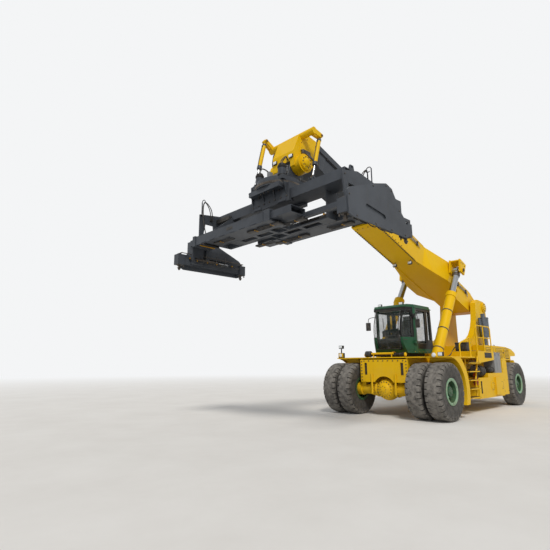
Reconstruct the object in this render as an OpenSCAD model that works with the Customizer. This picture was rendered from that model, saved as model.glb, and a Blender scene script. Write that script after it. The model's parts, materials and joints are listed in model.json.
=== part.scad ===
// Container reach stacker, empty and parked on its wheels, spreader at the
// twenty foot position. Worked out in the axle frame: x = 0 at the front axle,
// +X forward, +Y to the machine's left, z = 0 on the ground. place() then
// moves everything so that the origin is the middle of the footprint.

/* [Wheels] */
// Outer diameter of every tyre
tyre_d = 1640; // [1500:5:1800]
// Width of one tyre
tyre_w = 490; // [420:5:520]
// Air gap between the two tyres of a twin
twin_gap = 100; // [80:5:140]
// Diameter over the rim flanges
rim_d = 760; // [700:5:820]
// Distance between the front and the steered axle
wheelbase = 6750; // [6500:10:7000]
// Width over the outer front tyres
front_width = 4100; // [4060:10:4200]
// Distance between the middles of the two steered tyres
steer_track = 3060; // [3040:10:3200]

/* [Chassis] */
// Air gap between the front side plates and the inner tyres
frame_gap = 130; // [110:5:150]
// Underside of the front side plates above the ground
frame_low_z = 1040; // [1000:5:1080]
// Top of the front side plates
frame_top_z = 1740; // [1700:5:1750]
// Front end of the side plates ahead of the front axle
frame_front_x = 240; // [220:5:280]
// Front edge of the deck's wings behind the front axle
wing_back = 50; // [20:10:90]
// Thickness of the chassis plates
frame_plate = 40; // [25:1:50]
// Top of the deck above the ground
deck_z = 1815; // [1800:5:1850]
// Thickness of the deck plates
deck_plate = 30; // [20:1:35]
// Top of the rear platforms above the ground
platform_z = 2030; // [2010:5:2060]
// Top of the hood above the ground
hood_top_z = 2300; // [2280:5:2340]
// Half of the width of the hood
hood_half_w = 1200; // [1150:10:1230]
// Rear face of the counterweight behind the steered axle
tail_length = 1750; // [1700:10:1850]
// Half of the width of the counterweight
tail_half_w = 1300; // [1240:10:1350]

/* [Cab] */
// Width of the cab outside
cab_w = 1440; // [1400:10:1480]
// Length of the cab outside
cab_l = 1710; // [1690:10:1740]
// Front of the cab ahead of the front axle
cab_front_x = -60; // [-90:10:-40]
// Height of the cab from the deck to the roof edge
cab_h = 1635; // [1600:5:1660]
// Half of the width of the cab's nose
nose_half_w = 500; // [480:10:530]
// Distance from the nose back to the front pillars
nose_l = 560; // [540:10:580]
// Thickness of the cab walls, pillars and door
cab_wall = 60; // [50:1:70]
// Thickness of the window panes
pane = 8; // [6:1:12]

/* [Boom] */
// Height of the boom pivot above the ground
pivot_z = 3930; // [3900:5:3960]
// Boom angle above level as it is parked
boom_angle = 18.5; // [18:0.5:19]
// Depth of the outer boom
outer_d = 840; // [820:5:880]
// Width of the outer boom
outer_w = 900; // [880:5:920]
// Plate thickness of both booms
boom_plate = 20; // [14:1:26]
// Length of the outer boom from the pivot to its mouth
outer_l = 7900; // [7700:50:8000]
// Length of the inner boom's tube
inner_l = 7200; // [7000:50:7300]
// Boom pivot to the front of the inner boom's tube
inner_front = 10900; // [10800:50:11000]
// Clearance between the two boom tubes
boom_gap = 40; // [30:1:50]

/* [Lift cylinders] */
// Half of the distance between the two lift cylinders
lift_y = 1040; // [1030:5:1060]
// Barrel diameter
lift_barrel_d = 340; // [320:5:350]
// Rod diameter
lift_rod_d = 230; // [180:5:250]
// Pin diameter at both ends
lift_pin_d = 150; // [130:5:160]

/* [Spreader] */
// Spacing of the twistlocks along the container
lock_spacing_l = 5853; // [5840:1:5870]
// Spacing of the twistlocks across the container
lock_spacing_w = 2259; // [2250:1:2270]
// Lowest point of the twistlock tips above the ground
lock_tip_z = 4250; // [4200:10:4300]
// Height of a sleeve of the main frame
sleeve_h = 250; // [240:5:270]
// Width of a sleeve
sleeve_w = 560; // [520:5:580]
// Distance from a twistlock to the end of the sleeves, measured along the container
sleeve_gap = 326.5; // [320:0.5:340]
// How far each sleeve runs past the spreader's middle
sleeve_reach = 600; // [500:20:700]
// How far a beam stands out of its sleeve's inner end when it is drawn in
beam_tail = 650; // [550:10:700]
// Length of the girder on which the spreader shifts sideways
girder_l = 4680; // [4600:20:4720]
// Plate thickness of the sleeves and beams
spreader_plate = 16; // [12:1:20]
// Clearance around a beam in its sleeve
beam_gap = 22; // [18:1:30]
// Outer diameter of the slewing ring
slew_ring_d = 1250; // [1150:10:1300]

/* [Fits] */
// Radial clearance of every pin, rod and bush
pin_gap = 0.5; // [0.3:0.1:0.8]
// Clearance under a wear pad
pad_gap = 0.5; // [0.3:0.1:0.8]
// Seat clearance between pieces of one body that only touch
seat = 0.3; // [0.2:0.1:0.5]

/* [Hidden] */
$fn = 64;

yellow = "#dcae12";
slate = "#565b63";
green = "#1f5a3c";
black = "#2a2b2d";
steel = "#b9bcc0";

tyre_r = tyre_d / 2;
rim_r = rim_d / 2;
// Middles of the tyres across the machine
outer_tyre_y = front_width / 2 - tyre_w / 2;
inner_tyre_y = outer_tyre_y - tyre_w - twin_gap;
steer_tyre_y = steer_track / 2;
frame_half_w = inner_tyre_y - tyre_w / 2 - frame_gap;
steer_x = -wheelbase;
tail_x = steer_x - tail_length;
// Outer face of the side tanks
tank_y = front_width / 2 - 330;

// Hub faces
hub_pilot_r = 210;
king_y = steer_tyre_y - 400;
king_pin_r = 60;
spindle_r = 110;

// Boom geometry in its own frame: s along the boom, h square to it
pivot_x = steer_x + 150;
pivot_pin_r = 110;
// Foot of the pylons ahead of the pivot, and their rear edge behind it
pylon_reach = 2110;
pylon_back = 230;
// Faces where hood and deck meet
hood_front_x = steer_x + 1750;
inner_d = outer_d - 2 * boom_plate - 2 * boom_gap;
inner_w = outer_w - 2 * boom_plate - 2 * boom_gap;
head_pin_s = inner_front + 477;
head_pin_h = -728;
head_pin_r = 90;
lift_top_s = 3258;
lift_top_h = 60;
lug_in_y = lift_y - 220;
function boom_x(s, h) = pivot_x + s * cos(boom_angle) - h * sin(boom_angle);
function boom_z(s, h) = pivot_z + s * sin(boom_angle) + h * cos(boom_angle);
head_pin_x = boom_x(head_pin_s, head_pin_h);
head_pin_z = boom_z(head_pin_s, head_pin_h);
lift_top_x = boom_x(lift_top_s, lift_top_h);
lift_top_z = boom_z(lift_top_s, lift_top_h);
lift_base_x = -900;
lift_base_z = 1300;
deck_half_w = 1300;
lift_dx = lift_top_x - lift_base_x;
lift_dz = lift_top_z - lift_base_z;
lift_len = sqrt(lift_dx * lift_dx + lift_dz * lift_dz);
// Turn about Y that carries +X onto the cylinder
lift_turn = -atan2(lift_dz, lift_dx);

// Spreader levels, from the lock tips up
spreader_x = head_pin_x + 460;
end_y = lock_spacing_l / 2;
lock_x = lock_spacing_w / 2;
lock_face_z = lock_tip_z + 150;
sleeve_low_z = lock_face_z + 530;
sleeve_mid_z = sleeve_low_z + sleeve_h / 2;
sleeve_x = 620;
sleeve_l = lock_spacing_l - 2 * sleeve_gap;
girder_low_z = sleeve_low_z + sleeve_h + 430;
girder_h = 260;
girder_w = 560;
girder_top_z = girder_low_z + girder_h;
carriage_half_l = 700;
// Half of the bay in which the carriage travels by 800 either way
bay_half_l = carriage_half_l + 880;
saddle_plate = 60;
ring_low_z = girder_top_z + 160;
ring_h = 120;
yoke_low_z = ring_low_z + ring_h + seat;
yoke_plate = 110;
yoke_top_z = yoke_low_z + yoke_plate;
tongue_half_w = 240;
beam_w = sleeve_w - 2 * spreader_plate - 2 * beam_gap;
beam_h = sleeve_h - 2 * spreader_plate - 2 * beam_gap;
// Depth of the end beams and height of the lock housings on them
housing_h = 300;
eye_r = 30;
lock_r = 32;
// Damper pins, measured in x and z from the head pin: left, right
damper_y = 760;
damper_pin_r = 32;
damper_rod_r = 30;
damper_top = [[-370, 830], [250, 1050]];
damper_foot = [[-20, -500], [630, -500]];
function damper_span(k) = damper_foot[k] - damper_top[k];
function damper_len(k) = norm(damper_span(k));
function damper_turn(k) = -atan2(damper_span(k)[1], damper_span(k)[0]);
corner_half = 110;
end_beam_h = 210;
end_plate = 30;

// The footprint runs from the spreader's front corners to the tail
front_x = spreader_x + lock_x + corner_half;
mid_x = (front_x + tail_x) / 2;

module place() translate([-mid_x, 0, 0]) children();
// A box between two corners
module block(lo, hi) translate(lo) cube([hi[0] - lo[0], hi[1] - lo[1], hi[2] - lo[2]]);
// An outline in x and z, y0 to y1 thick
module slab(points, y0, y1) translate([0, y1, 0]) rotate([90, 0, 0]) linear_extrude(y1 - y0) polygon(points);
// A round bar along y
module bar_y(r, y0, y1) translate([0, y0, 0]) rotate([-90, 0, 0]) cylinder(r = r, h = y1 - y0);
// A round bar along x
module bar_x(r, x0, x1) translate([x0, 0, 0]) rotate([0, 90, 0]) cylinder(r = r, h = x1 - x0);
// A round bar between two points
module strut(a, b, r) {
    d = b - a;
    l = norm(d);
    translate(a) rotate([0, acos(d[2] / l), atan2(d[1], d[0])]) cylinder(r = r, h = l);
}
module both_sides() {
    children();
    mirror([0, 1, 0]) children();
}
module side(left) if (left) children(); else mirror([0, 1, 0]) children();
// Boom frame: x along the boom from the pivot, z square to it
module on_boom() translate([pivot_x, 0, pivot_z]) rotate([0, -boom_angle, 0]) children();
// Spreader frame: x = 0 and y = 0 on the slewing axis, z from the ground
module on_spreader() translate([spreader_x, 0, 0]) children();

// A hollow square tube along x
module tube_x(x0, x1, w, h, wall) difference() {
    block([x0, -w / 2, -h / 2], [x1, w / 2, h / 2]);
    block([x0 - 1, -w / 2 + wall, -h / 2 + wall], [x1 + 1, w / 2 - wall, h / 2 - wall]);
}

module chassis_frame() color(yellow) place() {
    low_rear_z = 620;
    axle_top_z = 1000;
    rear_half_w = 430;
    waist_x = -2700;
    rear_x = tail_x + 620;
    plate_in = frame_half_w - frame_plate;
    // Front side plates, cut up over the drive axle
    both_sides() slab([[waist_x - 400, frame_low_z - 320], [-720, frame_low_z - 320], [-480, frame_low_z],
        [frame_front_x, frame_low_z], [frame_front_x, frame_top_z], [waist_x - 400, frame_top_z]], plate_in, frame_half_w);
    // Rear rails, drawn in for the steered wheels and cut up over the steered axle
    both_sides() slab([[rear_x, low_rear_z], [steer_x - 350, low_rear_z], [steer_x - 290, axle_top_z + seat],
        [steer_x + 290, axle_top_z + seat], [steer_x + 350, low_rear_z], [waist_x - 390, low_rear_z],
        [waist_x - 390, frame_top_z], [rear_x, frame_top_z]], rear_half_w - frame_plate, rear_half_w);
    // Bulkhead between the wide and the narrow half, cross members and floor
    block([waist_x - 400, -plate_in - 1, frame_low_z - 320], [waist_x - 350, plate_in + 1, frame_top_z]);
    block([-420, -plate_in - 1, 1340], [-360, plate_in + 1, frame_top_z]);
    block([frame_front_x - 40, -plate_in - 1, 1300], [frame_front_x, plate_in + 1, frame_top_z]);
    block([steer_x + 500, -rear_half_w + 1, low_rear_z], [waist_x - 390, rear_half_w - 1, low_rear_z + 80]);
    // Box that carries the boom pylons
    block([pivot_x - pylon_back - 60, -800, frame_top_z - 80], [pivot_x + pylon_reach + 40, 800, frame_top_z]);
    // Outriggers of the side tanks
    both_sides() for (x = [-5100, -4200, -3400]) block([x, rear_half_w - 1, 1000], [x + 40, 1000 - seat, 1400]);
    // Brackets of the lift cylinders with their pins
    both_sides() {
        for (y = [frame_half_w - 1, lift_y + 100]) slab([[-1150, 1040], [-880, 1040], [-780, 1180], [-780, 1360],
            [-850, 1450], [-960, 1450], [-1100, 1340]], y, y < lift_y ? lift_y - 110 : lift_y + 140);
        block([-1150, frame_half_w - 1, 1040], [-880, lift_y + 101, 1120]);
        translate([lift_base_x, 0, lift_base_z]) bar_y(lift_pin_d / 2, lift_y - 111, lift_y + 160);
    }
}
module front_plate() color(yellow) place() difference() {
    block([frame_front_x + seat, -frame_half_w - 10, frame_low_z], [frame_front_x + 40, frame_half_w + 10, frame_top_z]);
    both_sides() block([frame_front_x - 20, frame_half_w - 240, 1260], [frame_front_x + 60, frame_half_w - 140, 1640]);
    translate([0, 0, tyre_r]) bar_x(400, frame_front_x - 20, frame_front_x + 60);
}

module front_axle() color(yellow) place() translate([0, 0, tyre_r]) {
    bar_y(170, -inner_tyre_y + 290, inner_tyre_y - 290);
    sphere(r = 340);
    both_sides() {
        // Saddle under the side plate
        block([-170, frame_half_w - 90, 0], [170, frame_half_w + 40, frame_low_z - tyre_r - seat]);
        // Wheel hub
        bar_y(hub_pilot_r - pin_gap, inner_tyre_y - 300, outer_tyre_y - 60);
    }
}
module front_mudguards() color(yellow) place() both_sides() {
    inner = inner_tyre_y + 45;
    outer = front_width / 2;
    r0 = tyre_r + 150;
    sheet = 22;
    translate([0, 0, tyre_r]) intersection() {
        difference() {
            bar_y(r0 + sheet, inner, outer);
            bar_y(r0, inner - 1, outer + 1);
        }
        block([-1300, 0, -420], [-560, 3000, 1300]);
    }
    // Side band along the arch
    translate([0, 0, tyre_r]) intersection() {
        difference() {
            bar_y(r0 + 230, outer - 25, outer);
            bar_y(r0 + 1, outer - 26, outer + 1);
        }
        block([-1300, 0, -420], [-130, 3000, deck_z - deck_plate - seat - tyre_r]);
    }
    // Apron from the arch up to the deck
    block([-582, inner, tyre_r + 800], [-560, outer, deck_z - deck_plate - seat]);
}
module deck() color(yellow) place() {
    z0 = deck_z - deck_plate;
    pylon_in = outer_w / 2 + 90;
    difference() {
        union() {
            block([hood_front_x + 20, -deck_half_w, z0], [frame_front_x + 60, deck_half_w, deck_z]);
            both_sides() block([-1800, deck_half_w - 1, z0], [-wing_back, front_width / 2, deck_z]);
            // Skirts down to the frame
            both_sides() block([-3100, frame_half_w - frame_plate, frame_top_z + seat], [frame_front_x, frame_half_w, z0 + 1]);
            both_sides() block([hood_front_x + 20, 390, frame_top_z + seat], [-3090, 430, z0 + 1]);
        }
        // Slots for the lift cylinders and the pylons
        both_sides() block([-1620, lift_y - 195, z0 - 1], [-960, lift_y + 195, deck_z + 1]);
        both_sides() block([hood_front_x - 1, pylon_in - 20, z0 - 1], [pivot_x + pylon_reach + 20, pylon_in + 220, deck_z + 1]);
    }
    // Raised platforms beside the pylons, on a riser and an outer panel
    both_sides() {
        block([-4430, 800, platform_z - deck_plate], [-3000, tank_y, platform_z]);
        block([-3040, 800, deck_z - 1], [-3000, tank_y - 10, platform_z - deck_plate + 1]);
        block([-4430, 800, deck_z - 1], [-3000, 830, platform_z - deck_plate + 1]);
        slab([[-4400, platform_z - 300], [-2950, platform_z - 410], [-2950, platform_z - 1], [-4430, platform_z - 1]],
            tank_y - 30, tank_y);
    }
}
cab_half = cab_w / 2;
cab_rear_x = cab_front_x - cab_l;
cab_floor_z = deck_z + 130;
pillar_a_x = cab_front_x - nose_l;
cab_top_z = deck_z + cab_h;
pillar_b_x = pillar_a_x - 750;
sill_h = 130;
door_hinge_x = pillar_a_x + 60;
door_hinge_y = cab_half + 35;
door_hinge_z = [cab_floor_z + 300, cab_top_z - 380];

// Side view of the cab, bulged at the nose
module cab_outline(inset) {
    points = [[cab_rear_x + inset, cab_floor_z + inset], [cab_front_x - 220 - inset * 0.6, cab_floor_z + inset],
        [cab_front_x - 60 - inset, cab_floor_z + 330], [cab_front_x - inset, cab_floor_z + 680],
        [cab_front_x - 60 - inset, cab_floor_z + 1050], [cab_front_x - 240 - inset, cab_top_z - inset],
        [cab_rear_x + 60 + inset, cab_top_z - inset]];
    polygon(points);
}
// Plan of the cab, drawn in from the front pillars to the nose
module cab_plan(inset) polygon([[cab_rear_x + inset, -cab_half + inset], [pillar_a_x, -cab_half + inset],
    [cab_front_x + 20 - inset, -nose_half_w + inset * 0.6], [cab_front_x + 20 - inset, nose_half_w - inset * 0.6],
    [pillar_a_x, cab_half - inset], [cab_rear_x + inset, cab_half - inset]]);
module cab_solid(inset) intersection() {
    translate([0, cab_half - inset, 0]) rotate([90, 0, 0]) linear_extrude(cab_w - 2 * inset) cab_outline(inset);
    translate([0, 0, cab_floor_z - 100]) linear_extrude(cab_top_z - cab_floor_z + 200) cab_plan(inset);
}
// The slanted quarter of the plan between a front pillar and the nose, drawn in at its edges
module quarter_plan(inset, inner) polygon([[pillar_a_x + 90 + inset, inner], [pillar_a_x + 90 + inset, cab_half + 10],
    [cab_front_x + 30, nose_half_w + 80], [cab_front_x + 30, inner]]);
module quarter_prism(inset, low, high) translate([0, 0, low]) linear_extrude(high - low)
    quarter_plan(inset, nose_half_w - 50 + inset);

module cab_openings() {
    // Side windows between the front pillar and the middle pillar
    block([pillar_b_x + 50, -cab_half - 10, cab_floor_z + 300], [pillar_a_x - 60, cab_half + 10, cab_top_z - 110]);
    // Rear side windows
    both_sides() block([cab_rear_x + 110, 0, cab_floor_z + 420], [pillar_b_x - 50, cab_half + 10, cab_top_z - 110]);
    // Windscreen and rear window
    block([cab_front_x - 290, -nose_half_w + 50, cab_floor_z + 120], [cab_front_x + 20, nose_half_w - 50, cab_top_z - 110]);
    block([cab_rear_x - 20, -cab_half + 90, cab_floor_z + 420], [cab_rear_x + 200, cab_half - 90, cab_top_z - 110]);
    // Door opening in the left quarter, quarter window over a solid lower quarter on the right
    for (k = [0, 1]) mirror([0, k, 0]) translate([0, 0, cab_floor_z + (k == 0 ? 90 : 520)])
        linear_extrude(cab_top_z - cab_floor_z - 110 - (k == 0 ? 90 : 520)) quarter_plan(0, nose_half_w - 200);
    // Roof light
    block([cab_rear_x + 300, -cab_half + 150, cab_top_z - 200], [pillar_a_x + 40, cab_half - 150, cab_top_z + 10]);
}
module cab_body() color(green) place() {
    difference() {
        cab_solid(0);
        cab_solid(cab_wall);
        cab_openings();
    }
    // Door hinges with their pins
    for (z = door_hinge_z) {
        for (h = [-20, 94]) {
            translate([door_hinge_x, door_hinge_y, z + h]) cylinder(r = 16, h = 16);
            block([door_hinge_x - 100, cab_half - 1, z + h], [door_hinge_x, door_hinge_y + 10, z + h + 16]);
        }
        translate([door_hinge_x, door_hinge_y, z - 10]) cylinder(r = 8, h = 110);
    }
}
module cab_roof() color(green) place() difference() {
    intersection() {
        slab([[cab_rear_x + 40, cab_top_z + seat], [cab_front_x - 220, cab_top_z + seat], [cab_front_x - 290, cab_top_z + 70],
            [cab_rear_x + 90, cab_top_z + 70]], -cab_half + 20, cab_half - 20);
        translate([0, 0, cab_top_z]) linear_extrude(100) cab_plan(15);
    }
    block([cab_rear_x + 300, -cab_half + 150, cab_top_z - 1], [pillar_a_x + 40, cab_half - 150, cab_top_z + 100]);
}
// A pane that follows the cab's form, as deep as the cab's edge less its inset
module pane_shell() difference() {
    cab_solid(24);
    cab_solid(24 + pane);
}
module cab_glass() color("#9fb8b4", 0.5) place() {
    both_sides() block([cab_rear_x + 110 + seat, cab_half - 40, cab_floor_z + 420 + seat],
        [pillar_b_x - 50 - seat, cab_half - 40 + pane, cab_top_z - 110 - seat]);
    both_sides() block([pillar_b_x + 50 + seat, cab_half - 40, cab_floor_z + 300 + seat],
        [pillar_a_x - 60 - seat, cab_half - 40 + pane, cab_top_z - 110 - seat]);
    block([cab_rear_x + 300 + seat, -cab_half + 150 + seat, cab_top_z - 40],
        [pillar_a_x + 40 - seat, cab_half - 150 - seat, cab_top_z - 40 + pane]);
    intersection() {
        pane_shell();
        block([cab_front_x - 289, -nose_half_w + 50 + seat, cab_floor_z + 120 + seat],
            [cab_front_x + 20, nose_half_w - 50 - seat, cab_top_z - 110 - seat]);
    }
    intersection() {
        pane_shell();
        block([cab_rear_x - 20, -cab_half + 90 + seat, cab_floor_z + 420 + seat],
            [cab_rear_x + 199, cab_half - 90 - seat, cab_top_z - 110 - seat]);
    }
    mirror([0, 1, 0]) intersection() {
        pane_shell();
        quarter_prism(seat, cab_floor_z + 520 + seat, cab_top_z - 110 - seat);
    }
}
module operator_seat() color(black) place() {
    block([-1300, -260, cab_floor_z + cab_wall + seat], [-900, 260, cab_floor_z + 380]);
    block([-1380, -260, cab_floor_z + 380], [-850, 260, cab_floor_z + 500]);
    block([-1450, -240, cab_floor_z + 480], [-1340, 240, cab_floor_z + 1120]);
}
module cab_console() color(black) place() {
    block([-560, -200, cab_floor_z + cab_wall + seat], [-400, 200, cab_floor_z + 560]);
    translate([-560, 0, cab_floor_z + 560]) rotate([0, -30, 0]) {
        cylinder(r = 30, h = 160);
        translate([0, 0, 150]) cylinder(r = 190, h = 30);
    }
}
module cab_subframe() color(black) place() {
    both_sides() block([cab_rear_x + 60, 300, deck_z + seat], [cab_front_x - 240, 420, cab_floor_z - seat]);
    // Drum across the cab's front, between two end flanges
    translate([cab_front_x + 200, 0, deck_z + 75 + seat]) {
        bar_y(50, -620, 620);
        both_sides() bar_y(75, 620, 700);
    }
}
// The door fills the left quarter and hangs on the front pillar
module cab_door() color(green) place() difference() {
    union() {
        intersection() {
            difference() {
                cab_solid(2);
                cab_solid(52);
            }
            quarter_prism(8, cab_floor_z + 98, cab_top_z - 118);
        }
        for (z = door_hinge_z) {
            translate([door_hinge_x, door_hinge_y, z]) cylinder(r = 16, h = 90);
            block([door_hinge_x, cab_half - 5, z + 6], [door_hinge_x + 70, door_hinge_y + 10, z + 84]);
            block([door_hinge_x + 45, cab_half - 75, z + 6], [door_hinge_x + 70, door_hinge_y + 10, z + 84]);
        }
    }
    // Window over the lower panel
    quarter_prism(60, cab_floor_z + 520, cab_top_z - 170);
    for (z = door_hinge_z) translate([door_hinge_x, door_hinge_y, z - 1]) cylinder(r = 8 + pin_gap, h = 92);
}
module cab_door_glass() color("#9fb8b4", 0.5) place() intersection() {
    pane_shell();
    quarter_prism(60 + seat, cab_floor_z + 520 + seat, cab_top_z - 170 - seat);
}

module boom_pylon() color(yellow) place() {
    inner = outer_w / 2 + 90;
    both_sides() {
        slab([[pivot_x + pylon_reach, frame_top_z + seat], [pivot_x + pylon_reach, frame_top_z + 350], [pivot_x + 2030, 2440],
            [pivot_x + 1650, 2560], [pivot_x + 1350, 2740], [pivot_x + 1120, 3010], [pivot_x + 960, 3320],
            [pivot_x + 880, 3700], [pivot_x + 830, pivot_z + 130], [pivot_x + 560, pivot_z + 290],
            [pivot_x - 60, pivot_z + 250], [pivot_x - pylon_back, pivot_z + 60],
            [pivot_x - pylon_back, frame_top_z + seat]], inner, inner + 200);
        translate([pivot_x, 0, pivot_z]) bar_y(205, inner - 60, inner + 240);
    }
    // Pivot pin
    translate([pivot_x, 0, pivot_z]) bar_y(pivot_pin_r, -inner - 250, inner + 250);
}
module engine_hood() color(yellow) place() {
    lid_low_z = hood_top_z - 380;
    rear_x = tail_x + 640;
    difference() {
        slab([[hood_front_x, frame_top_z + seat], [hood_front_x, hood_top_z], [steer_x + 350, hood_top_z],
            [steer_x - 650, hood_top_z - 20], [tail_x + 450, hood_top_z - 100], [tail_x + 60, hood_top_z - 240],
            [tail_x, hood_top_z - 320], [tail_x + 30, lid_low_z], [rear_x, lid_low_z - 20], [rear_x, frame_top_z + seat]],
            -hood_half_w, hood_half_w);
        slab([[hood_front_x - 40, frame_top_z - 10], [hood_front_x - 40, hood_top_z - 30], [steer_x + 350, hood_top_z - 30],
            [steer_x - 650, hood_top_z - 50], [tail_x + 450, hood_top_z - 130], [tail_x + 80, hood_top_z - 268],
            [tail_x + 60, lid_low_z - 40], [rear_x + 30, lid_low_z - 40], [rear_x + 30, frame_top_z - 10]],
            -hood_half_w + 30, hood_half_w - 30);
        // Slots where the pylons stand
        both_sides() block([pivot_x - pylon_back - 20, outer_w / 2 + 70, frame_top_z - 10],
            [hood_front_x + 1, outer_w / 2 + 310, hood_top_z + 100]);
    }
}
module counterweight() color(yellow) place()
    slab([[tail_x + 620 - seat, 520], [tail_x + 620 - seat, frame_top_z], [tail_x + 420, 1620], [tail_x + 60, 1570],
        [tail_x, 1500], [tail_x, 900], [tail_x + 200, 520]], -tail_half_w, tail_half_w);
module engine_block() color(steel) place() block([steer_x + 600, -380, 700 + seat], [steer_x + 2000, 380, frame_top_z - 100]);
tank_top_z = 1270;
notch_z = 1130;
module side_tanks() color(yellow) place() both_sides() {
    difference() {
        block([steer_x + 1600, 1000, 450], [steer_x + 3950, tank_y, tank_top_z]);
        // Notch under the air cleaner
        block([steer_x + 3060, tank_y - 460, notch_z], [steer_x + 4000, tank_y + 80, 1600]);
    }
    // Step box on the tank's face, and the column ahead of the steered wheel
    block([steer_x + 1980, tank_y - 1, 520], [steer_x + 2520, tank_y + 60, notch_z]);
    block([steer_x + 1100, 1440, 480], [steer_x + 1601, tank_y, 1800]);
}
module air_cleaner() color(black) place() translate([steer_x + 3420, tank_y - 215, notch_z + 215 + seat]) {
    bar_x(195, -250, 200);
    bar_x(215, 150, 180);
    bar_x(120, 199, 260);
}
module battery_box() color(steel) place()
    block([steer_x + 1640, deck_half_w + 10, tank_top_z + seat], [steer_x + 2280, tank_y - 20, platform_z - 40]);
module exhaust() color("#3d4654") place() translate([steer_x + 1000, 1000, hood_top_z + seat]) difference() {
    union() {
        cylinder(r = 90, h = 400);
        translate([0, 0, 330]) cylinder(r = 190, h = 790);
        translate([0, 0, 1100]) cylinder(r = 85, h = 180);
    }
    translate([0, 0, 1000]) cylinder(r = 74, h = 400);
}
module ladders() color(yellow) place() both_sides() {
    // Left upright under the deck's edge, right one up to the platform
    strut([-1740, 1750, 520], [-1740, 1750, deck_z - deck_plate - seat], 26);
    strut([-2470, 1750, 520], [-2470, 1750, 1110], 26);
    strut([-2470, 1750, 1100], [-2920, tank_y - 15, platform_z - 200], 26);
    block([-2950 + seat, tank_y - 41, platform_z - 240], [-2894, tank_y + 11, platform_z - 160]);
    for (z = [520 : 272 : 1610]) block([-2480 - max(0, z - 1100) * 0.625, 1640, z], [-1730, 1860, z + 30]);
}
module handrails() color(yellow) place() both_sides() {
    rail_y = tank_y - 45;
    for (x = [-3040, -3710, -4380]) strut([x, rail_y, platform_z + seat], [x, rail_y, platform_z + 910], 22);
    for (h = [470, 885]) strut([-3040, rail_y, platform_z + h], [-4380, rail_y, platform_z + h], 18);
    // Stair post at the deck's edge
    strut([-1740, 1950, deck_z + seat], [-1740, 1950, deck_z + 640], 22);
    strut([-1740, 1950, deck_z + 610], [-950, 1950, deck_z + 400], 18);
    strut([-950, 1950, deck_z + seat], [-950, 1950, deck_z + 430], 22);
}
module headlamps() color(black) place() {
    // Low lamp at the left wing's front edge
    block([-wing_back - 150, 1640, deck_z + seat], [-wing_back - 40, 1790, deck_z + 130]);
    // Lamp stalk at the deck's right front corner
    translate([-wing_back - 60, -1900, deck_z + seat]) {
        block([-40, -110, 0], [40, 110, 170]);
        cylinder(r = 20, h = 340);
        block([-45, -80, 320], [45, 80, 430]);
    }
}
module steering_axle() color(yellow) place() translate([steer_x, 0, 0]) {
    block([-280, -king_y + 230, 560], [280, king_y - 230, 1000]);
    both_sides() difference() {
        union() {
            for (z = [420, 1080]) {
                block([-135, king_y - 200, z], [135, king_y, z + 120]);
                translate([0, king_y, z]) cylinder(r = 135, h = 120);
            }
            block([-160, king_y - 240, 420], [160, king_y - 160, 1200]);
        }
        translate([0, king_y, 0]) cylinder(r = king_pin_r + pin_gap, h = 2000);
    }
}
module steering_knuckle(left) color(yellow) place() side(left) translate([steer_x, king_y, 0]) {
    translate([0, 0, 420]) cylinder(r = king_pin_r, h = 780);
    translate([0, 0, 545]) cylinder(r = 120, h = 530);
    translate([0, 0, tyre_r]) bar_y(spindle_r, 0, steer_tyre_y - king_y - 12);
}
module steering_knuckle_left() steering_knuckle(true);
module steering_knuckle_right() steering_knuckle(false);

// One tyre, its middle on y = 0, turned about y
module tyre() {
    bead_r = rim_r - 45;
    half = tyre_w / 2;
    rotate([-90, 0, 0]) rotate_extrude($fn = 96) polygon([[bead_r, -half * 0.72], [rim_r + 30, -half * 0.86],
        [tyre_r * 0.72, -half], [tyre_r * 0.93, -half * 0.97], [tyre_r - 12, -half * 0.86], [tyre_r, -half * 0.70],
        [tyre_r, half * 0.70], [tyre_r - 12, half * 0.86], [tyre_r * 0.93, half * 0.97], [tyre_r * 0.72, half],
        [rim_r + 30, half * 0.86], [bead_r, half * 0.72]]);
}
// One rim with its flanges, its middle on y = 0
module rim_shell() {
    bead_r = rim_r - 45 - seat;
    half = tyre_w / 2;
    // The flange lies along the tyre's bead
    flange = half * 0.804 + 2 * seat;
    rotate([-90, 0, 0]) rotate_extrude($fn = 96) polygon([[bead_r - 30, -half * 0.86], [rim_r, -half * 0.86 - 12],
        [rim_r, -flange], [bead_r, -half * 0.72 - 2 * seat], [bead_r, half * 0.72 + 2 * seat], [rim_r, flange],
        [rim_r, half * 0.86 + 12], [bead_r - 30, half * 0.86]]);
}
module front_tyres(left) color(black) place() side(left) for (y = [inner_tyre_y, outer_tyre_y])
    translate([0, y, tyre_r]) tyre();
module front_rims(left) color(green) place() side(left) translate([0, 0, tyre_r]) difference() {
    union() {
        for (y = [inner_tyre_y, outer_tyre_y]) translate([0, y, 0]) rim_shell();
        // Drum that joins the two rims
        difference() {
            bar_y(rim_r - 55, inner_tyre_y - 100, outer_tyre_y + 40);
            bar_y(rim_r - 100, inner_tyre_y - 101, outer_tyre_y);
        }
        // Disc on the hub
        bar_y(rim_r - 80, outer_tyre_y - 110, outer_tyre_y + 40);
    }
    bar_y(hub_pilot_r, inner_tyre_y - 400, outer_tyre_y - 50);
}
module front_tyres_left() front_tyres(true);
module front_tyres_right() front_tyres(false);
module front_rims_left() front_rims(true);
module front_rims_right() front_rims(false);
module rear_tyre(left) color(black) place() side(left) translate([steer_x, steer_tyre_y, tyre_r]) tyre();
module rear_rim(left) color(green) place() side(left) translate([steer_x, steer_tyre_y, tyre_r]) difference() {
    union() {
        rim_shell();
        bar_y(rim_r - 60, -60, 80);
    }
    bar_y(spindle_r + pin_gap, -300, -8);
}
module rear_tyre_left() rear_tyre(true);
module rear_tyre_right() rear_tyre(false);
module rear_rim_left() rear_rim(true);
module rear_rim_right() rear_rim(false);

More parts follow.
